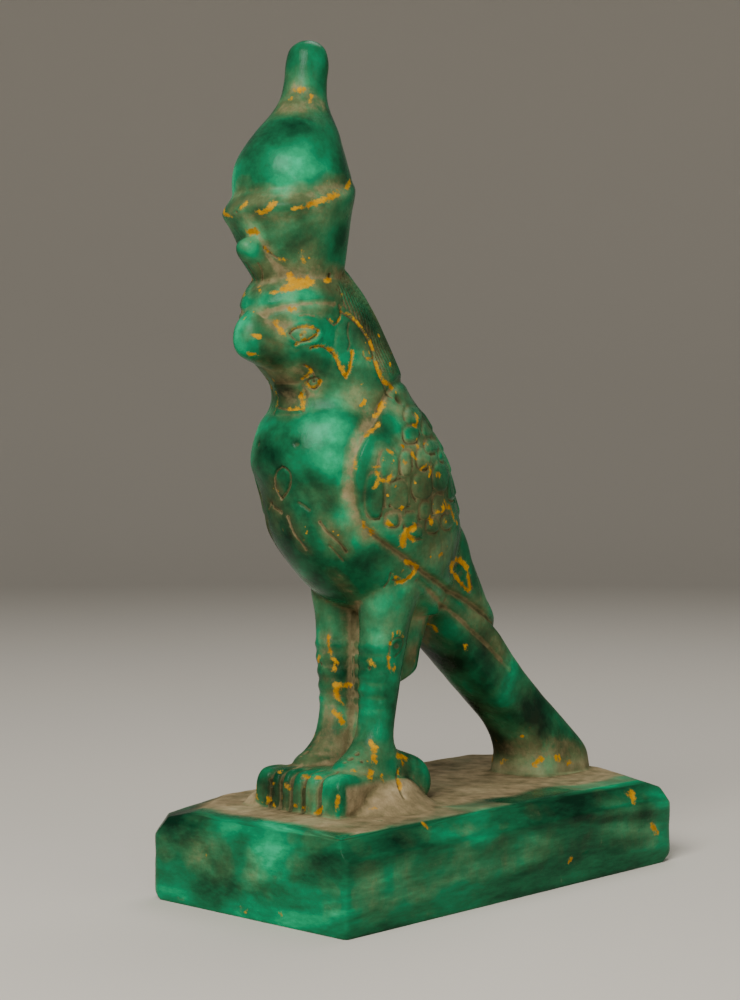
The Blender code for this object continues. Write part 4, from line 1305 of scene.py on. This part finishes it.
def coat(mesh):
    """Keeps, at each point, how dusty, soiled, pale or worn the stone is there, its tone with painted
    highlights and painted shade, and where pigment lies.
    """
    place, normal = skin_of(mesh)
    steps = in_steps(place)
    count = len(place)
    pairs = np.empty(len(mesh.edges) * 2, np.int32)
    mesh.edges.foreach_get("vertices", pairs)
    pairs = pairs.reshape(-1, 2)
    close = softened(place, pairs, count, CLOSE_PASSES)
    wide = softened(close, pairs, count, WIDE_PASSES)
    cut = ((close - place) * normal).sum(axis=1) / STEP
    bowl = ((wide - place) * normal).sum(axis=1) / STEP
    tree = tree_of(mesh)
    nook = softened(shelter(tree, place, normal)[:, None], pairs, count, NOOK_PASSES)[:, 0]
    # The pale patches hold painted highlights as well as pale stone, and the deep ones hold painted shade
    # as well as deep green stone
    pale = patches(tree, steps, PALE_AND_PAINTED_HIGHLIGHT)
    keep = {
        "cut": np.clip(cut * CUT_GAIN, -1.0, 1.0),
        "bowl": np.clip(bowl * BOWL_GAIN, -1.0, 1.0),
        "nook": nook,
        "pigment": drawn_on(tree, steps, PIGMENT),
        "packed": 1.0 - smoothstep(*PACKED_EDGE, drawn_on(tree, steps, DUSTED)),
        "shelf": settled(steps, normal[:, 2]),
        "tone_with_painted_light": pale - patches(tree, steps, DEEP_AND_PAINTED_SHADE),
        # Soiling is thinned under the pale patches, painted highlights among them
        "soiled": np.clip(patches(tree, steps, SOILED) - FILM_THINNED_WHERE_PALE * pale, -1.0, MOST_SOILED),
    }
    for name, values in keep.items():
        layer = mesh.attributes.new(name, "FLOAT", "POINT")
        layer.data.foreach_set("value", values.astype(np.float32))


# Materials

KEPT = ("cut", "bowl", "nook", "pigment", "packed", "shelf", "tone_with_painted_light", "soiled")

# The stone's noises, each as how many millimetres its spots are across, its detail, its roughness and
# its distortion: those that follow the stone's own clouding, and those of what lies on its skin
MILLIMETRES = 1000.0
IN_THE_STONE = {
    "clouds": (30.0, 3.0, 0.5, 1.2),
    "wisps": (9.0, 6.0, 0.62, 0.0),
    "grain": (1.6, 4.0, 0.7, 0.0),
}
ON_THE_SKIN = {
    "drift": (14.0, 3.0, 0.5, 0.6),
    "fine": (1.8, 4.0, 0.65, 0.0),
    "grit": (3.5, 5.0, 0.65, 0.0),
    "flakes": (1.3, 4.0, 0.7, 0.0),
    "specks": (2.4, 2.0, 0.5, 0.0),
    "pores": (0.7, 3.0, 0.7, 0.0),
}

# Heights over which the block's level streaks give way to the figure's round clouds
STREAKS_END = (PLINTH_HEIGHT - 0.0015, PLINTH_HEIGHT + 0.0005)

# Colours from the darkest places to the lightest
GREENS = (
    (0.44, "072718"),
    (0.58, "12452b"),
    (0.69, "185d3b"),
    (0.80, "14724b"),
    (0.91, "0a8f5e"),
    (1.0, "18aa76"),
)
OLIVES = ((0.45, "262b1a"), (0.70, "4f5938"), (0.88, "7a845a"), (1.0, "959e70"))
BROWNS = ((0.26, "332e1c"), (0.45, "6c5f42"), (0.62, "937f5e"), (0.8, "b39d78"))
OCHRES = ((0.3, "8c5a00"), (0.5, "b27e00"), (0.7, "ca9400"))


def linear(code):
    """A colour given as sRGB hex, as linear values."""
    parts = [int(code[i : i + 2], 16) / 255.0 for i in (0, 2, 4)]
    return [c / 12.92 if c <= 0.04045 else ((c + 0.055) / 1.055) ** 2.4 for c in parts] + [1.0]


def add(tree, kind, links=(), out=0, stops=(), **settings):
    """Adds a node: its settings, what its sockets take and a ramp's stops. Returns one output."""
    node = tree.nodes.new("ShaderNode" + kind)
    for name, value in settings.items():
        setattr(node, name, value)
    for socket, value in links.items() if isinstance(links, dict) else enumerate(links):
        if isinstance(value, bpy.types.NodeSocket):
            tree.links.new(value, node.inputs[socket])
        else:
            node.inputs[socket].default_value = value
    while 0 < len(stops) > len(node.color_ramp.elements):
        node.color_ramp.elements.new(0.5)
    for k, (where, code) in enumerate(stops):
        node.color_ramp.elements[k].position = where
        node.color_ramp.elements[k].color = linear(code)
    return node.outputs[out] if node.outputs else None


def noises(tree, here):
    """Every noise, by its name. Those in the stone are drawn out along the plinth in level streaks."""
    height = add(tree, "SeparateXYZ", (here,), out=2)
    in_block = add(tree, "MapRange", (height, *STREAKS_END, 1.0, 0.0))
    drawn_out = {"Vector": here, "Rotation": (0.10, 0.0, 0.0), "Scale": (0.8, 0.42, 1.9)}
    streaks = add(tree, "Mapping", drawn_out)
    veined = add(tree, "Mix", {0: in_block, 4: here, 5: streaks}, out=1, data_type="VECTOR")
    made = {}
    for where, spots in ((veined, IN_THE_STONE), (here, ON_THE_SKIN)):
        for name, (across, detail, roughened, distortion) in spots.items():
            sockets = {
                "Vector": where,
                "Scale": MILLIMETRES / across,
                "Detail": detail,
                "Roughness": roughened,
                "Distortion": distortion,
            }
            made[name] = add(tree, "TexNoise", sockets)
    return made


def clouded_stone(tree, kept, noise):
    """How light the stone is, and its green: clouds some 30 mm across with 9 mm wisps in them, and the kept
    tone, which paints highlights where the pale patches lie and shade where the deep ones lie.
    """
    tone_with_painted_light = noise["clouds"]
    # The kept tone adds painted highlights and painted shade to the stone's clouds
    for cause, share in ((noise["wisps"], 0.40), (noise["grain"], 0.22), (kept["tone_with_painted_light"], 0.26)):
        tone_with_painted_light = add(tree, "Math", (cause, share, tone_with_painted_light), operation="MULTIPLY_ADD")
    tone_with_painted_light = add(tree, "Math", (tone_with_painted_light, 0.11), operation="SUBTRACT")
    return tone_with_painted_light, add(tree, "ValToRGB", (tone_with_painted_light,), stops=GREENS)


def brown_film(tree, kept, noise, tone_with_painted_light, stone):
    """How thick the film is that handling and burial leave, and the stone's colour under it."""
    film = add(tree, "MapRange", (noise["drift"], 0.34, 0.66, 0.0, 0.42), interpolation_type="SMOOTHSTEP")
    for cause, share in (("soiled", 0.80), ("bowl", 0.40), ("nook", 0.60), ("packed", 0.60), ("cut", 0.35)):
        film = add(tree, "Math", (kept[cause], share, film), operation="MULTIPLY_ADD")
    patchy = add(tree, "MapRange", (noise["fine"], 0.3, 0.7, 0.50, 1.30))
    film = add(tree, "Math", (film, patchy), operation="MULTIPLY", use_clamp=True)
    veil = add(tree, "Math", (film, 0.90), operation="MULTIPLY")
    # The film's olive follows the tone, so it is lighter under painted highlights and darker under painted
    # shade
    soil = add(tree, "ValToRGB", (tone_with_painted_light,), stops=OLIVES)
    return film, add(tree, "Mix", {0: veil, 6: stone, 7: soil}, out=2, data_type="RGBA")


def packed_dust(tree, kept, noise, under):
    """How thick dust lies in the cuts and hollows and on the plinth, and the colour then."""
    dust = -0.45
    causes = ((kept["nook"], 0.5), (kept["cut"], 0.9), (kept["packed"], 0.40), (noise["fine"], 0.9))
    for cause, share in causes:
        dust = add(tree, "Math", (cause, share, dust), operation="MULTIPLY_ADD")
    dust = add(tree, "MapRange", (dust, 0.2, 0.85, 0.0, 0.8), interpolation_type="SMOOTHSTEP")
    thick = add(tree, "MapRange", (noise["drift"], 0.2, 0.5, 0.85, 1.0), interpolation_type="SMOOTHSTEP")
    ground = add(tree, "Math", (kept["shelf"], thick), operation="MULTIPLY")
    dust = add(tree, "Math", (dust, ground), operation="MAXIMUM")
    # The dust's colour follows the tone too, so it is lighter under painted highlights and darker under
    # painted shade, and it is darker in the cuts
    lit = 0.27
    for cause, share in ((noise["grit"], 0.6), (kept["tone_with_painted_light"], 0.18), (kept["cut"], -0.25)):
        lit = add(tree, "Math", (cause, share, lit), operation="MULTIPLY_ADD")
    brown = add(tree, "ValToRGB", (lit,), stops=BROWNS)
    laid = add(tree, "Math", (dust, 0.9), operation="MULTIPLY")
    return dust, add(tree, "Mix", {0: laid, 6: under, 7: brown}, out=2, data_type="RGBA")


def ochre_traces(tree, kept, noise, under):
    """Where yellow ochre is left, ragged at the edge and in flecks on soiled stone, and the colour then."""
    ragged = add(tree, "Math", (noise["flakes"], 2.8, -1.30), operation="MULTIPLY_ADD")
    ragged = add(tree, "Math", (kept["pigment"], ragged), operation="ADD")
    paint = add(tree, "MapRange", (ragged, 0.38, -0.30, 0.0, 0.95), interpolation_type="SMOOTHSTEP")
    flecks = add(tree, "MapRange", (noise["specks"], 0.69, 0.72, 0.0, 1.0))
    worn = add(tree, "MapRange", (kept["soiled"], 0.45, 0.7, 0.0, 1.0))
    flecks = add(tree, "Math", (flecks, worn), operation="MULTIPLY")
    paint = add(tree, "Math", (paint, flecks), operation="MAXIMUM")
    ochre = add(tree, "ValToRGB", (noise["grit"],), stops=OCHRES)
    return paint, add(tree, "Mix", {0: paint, 6: under, 7: ochre}, out=2, data_type="RGBA")


def low_gloss(tree, noise, film, dust, paint):
    """The rubbed stone's low gloss, matt where film, dust or ochre lies, and a skin rough to the touch."""
    gloss = add(tree, "MapRange", (film, 0.0, 1.0, 0.24, 0.50), interpolation_type="SMOOTHSTEP")
    gloss = add(tree, "Math", (dust, 0.4, gloss), operation="MULTIPLY_ADD")
    gloss = add(tree, "Math", (paint, 0.25, gloss), operation="MULTIPLY_ADD", use_clamp=True)
    rough_dust = add(tree, "Math", (dust, 0.25), operation="ADD")
    pores = add(tree, "Math", (noise["pores"], rough_dust), operation="MULTIPLY")
    rough = add(tree, "Math", (noise["fine"], 0.5, pores), operation="MULTIPLY_ADD")
    return gloss, add(tree, "Bump", {"Strength": 0.5, "Distance": 0.0003, "Height": rough})


def polished_serpentine():
    """Soft green serpentine, scraped, ground and rubbed with wax: clouded greens under a low gloss.

    The clouds break up the plain crown and breast, the film dulls the wig, the wings and the hollows to
    olive, the dust picks out the carving, and the ochre is left in the rims of cuts.
    """
    material = bpy.data.materials.new("polished_serpentine")
    material.use_nodes = True
    tree = material.node_tree
    tree.nodes.clear()
    here = add(tree, "TexCoord", out="Object")
    kept = {name: add(tree, "Attribute", out="Fac", attribute_name=name) for name in KEPT}
    noise = noises(tree, here)
    tone_with_painted_light, colour = clouded_stone(tree, kept, noise)
    film, colour = brown_film(tree, kept, noise, tone_with_painted_light, colour)
    dust, colour = packed_dust(tree, kept, noise, colour)
    paint, colour = ochre_traces(tree, kept, noise, colour)
    gloss, bump = low_gloss(tree, noise, film, dust, paint)
    sockets = {
        "Base Color": colour,
        "Roughness": gloss,
        "IOR": 1.56,
        "Specular IOR Level": 0.05,
        "Normal": bump,
    }
    surface = add(tree, "BsdfPrincipled", sockets)
    add(tree, "OutputMaterial", {"Surface": surface})
    return material


def pale_paper():
    """Matt studio paper, a plain pale ground that shows only soft shadow."""
    material = bpy.data.materials.new("pale_paper")
    material.use_nodes = True
    shader = material.node_tree.nodes["Principled BSDF"]
    shader.inputs["Base Color"].default_value = linear("cfc8bb")
    shader.inputs["Roughness"].default_value = 0.9
    return material


# The statue


def falcon():
    """The whole carving: masses skinned as one, softened, carved and thinned where it is plain."""
    rough = bpy.data.objects.new("rough_block", rough_masses())
    bpy.context.scene.collection.objects.link(rough)
    skin = rough.modifiers.new("skin", "REMESH")
    skin.mode = "VOXEL"
    skin.voxel_size = VOXEL
    soften = rough.modifiers.new("soften", "SMOOTH")
    soften.iterations = SMOOTH_PASSES
    carved = evaluated(rough)
    carve(carved)
    rough.modifiers.clear()
    rough.data = carved
    thin = rough.modifiers.new("thin", "DECIMATE")
    carved.calc_loop_triangles()
    thin.ratio = TRIANGLES / len(carved.loop_triangles)
    thin.use_collapse_triangulate = True
    thinned = evaluated(rough)
    bpy.data.objects.remove(rough)
    flat_underside(thinned)
    coat(thinned)
    thinned.materials.append(polished_serpentine())
    thinned.shade_smooth()
    statue = bpy.data.objects.new("carved_falcon", thinned)
    bpy.context.scene.collection.objects.link(statue)
    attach(statue, "root")
    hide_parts("falcon_statue")


def paper_sweep():
    """A pale floor that sweeps up all round."""
    mesh = bmesh.new()
    bmesh.ops.create_circle(mesh, cap_ends=True, segments=FLOOR_SIDES, radius=FLOOR_RADIUS)
    for angle in np.linspace(0.0, math.pi / 2.0, SWEEP_BANDS + 1)[1:]:
        rim = [e for e in mesh.edges if e.is_boundary]
        grown = bmesh.ops.extrude_edge_only(mesh, edges=rim)["geom"]
        verts = [g for g in grown if isinstance(g, bmesh.types.BMVert)]
        for vert in verts:
            vert.co.z = 0.0
            vert.co = vert.co.normalized() * (FLOOR_RADIUS + SWEEP * math.sin(angle))
            vert.co.z = SWEEP * (1.0 - math.cos(angle))
    bmesh.ops.recalc_face_normals(mesh, faces=mesh.faces)
    held = bpy.data.meshes.new("floor")
    mesh.to_mesh(held)
    mesh.free()
    held.materials.append(pale_paper())
    held.shade_smooth()
    floor = bpy.data.objects.new("floor", held)
    bpy.context.scene.collection.objects.link(floor)


def soft_lights():
    """Dim white air, and the lamps."""
    world = bpy.data.worlds.new("studio_air")
    bpy.context.scene.world = world
    world.use_nodes = True
    world.node_tree.nodes["Background"].inputs["Color"].default_value = linear(AIR)
    world.node_tree.nodes["Background"].inputs["Strength"].default_value = AIR_STRENGTH

    middle = Vector((0.0, 0.0, LAMPS_AIM))
    for name, around, up, away, size, power in LAMPS:
        light = bpy.data.lights.new(name, "AREA")
        light.energy = power
        light.size = size
        lamp = bpy.data.objects.new(name, light)
        turn, lift = math.radians(around), math.radians(up)
        out = Vector((math.sin(turn) * math.cos(lift), -math.cos(turn) * math.cos(lift), math.sin(lift)))
        lamp.location = middle + out * away
        lamp.rotation_euler = (-out).to_track_quat("-Z", "Y").to_euler()
        lamp.visible_camera = False
        bpy.context.scene.collection.objects.link(lamp)


def viewpoint():
    """The camera, where the photograph's was."""
    eye, forward, _, _ = view_axes()
    lens = bpy.data.cameras.new("view")
    lens.sensor_fit = "AUTO"
    lens.sensor_width = SENSOR
    lens.lens = FOCAL * lens.sensor_width / FRAME_HEIGHT
    lens.clip_start = NEAREST
    camera = bpy.data.objects.new("view", lens)
    camera.location = eye
    camera.rotation_euler = forward.to_track_quat("-Z", "Y").to_euler()
    bpy.context.scene.collection.objects.link(camera)
    bpy.context.scene.camera = camera


falcon()
paper_sweep()
soft_lights()
viewpoint()
bpy.context.view_layer.update()
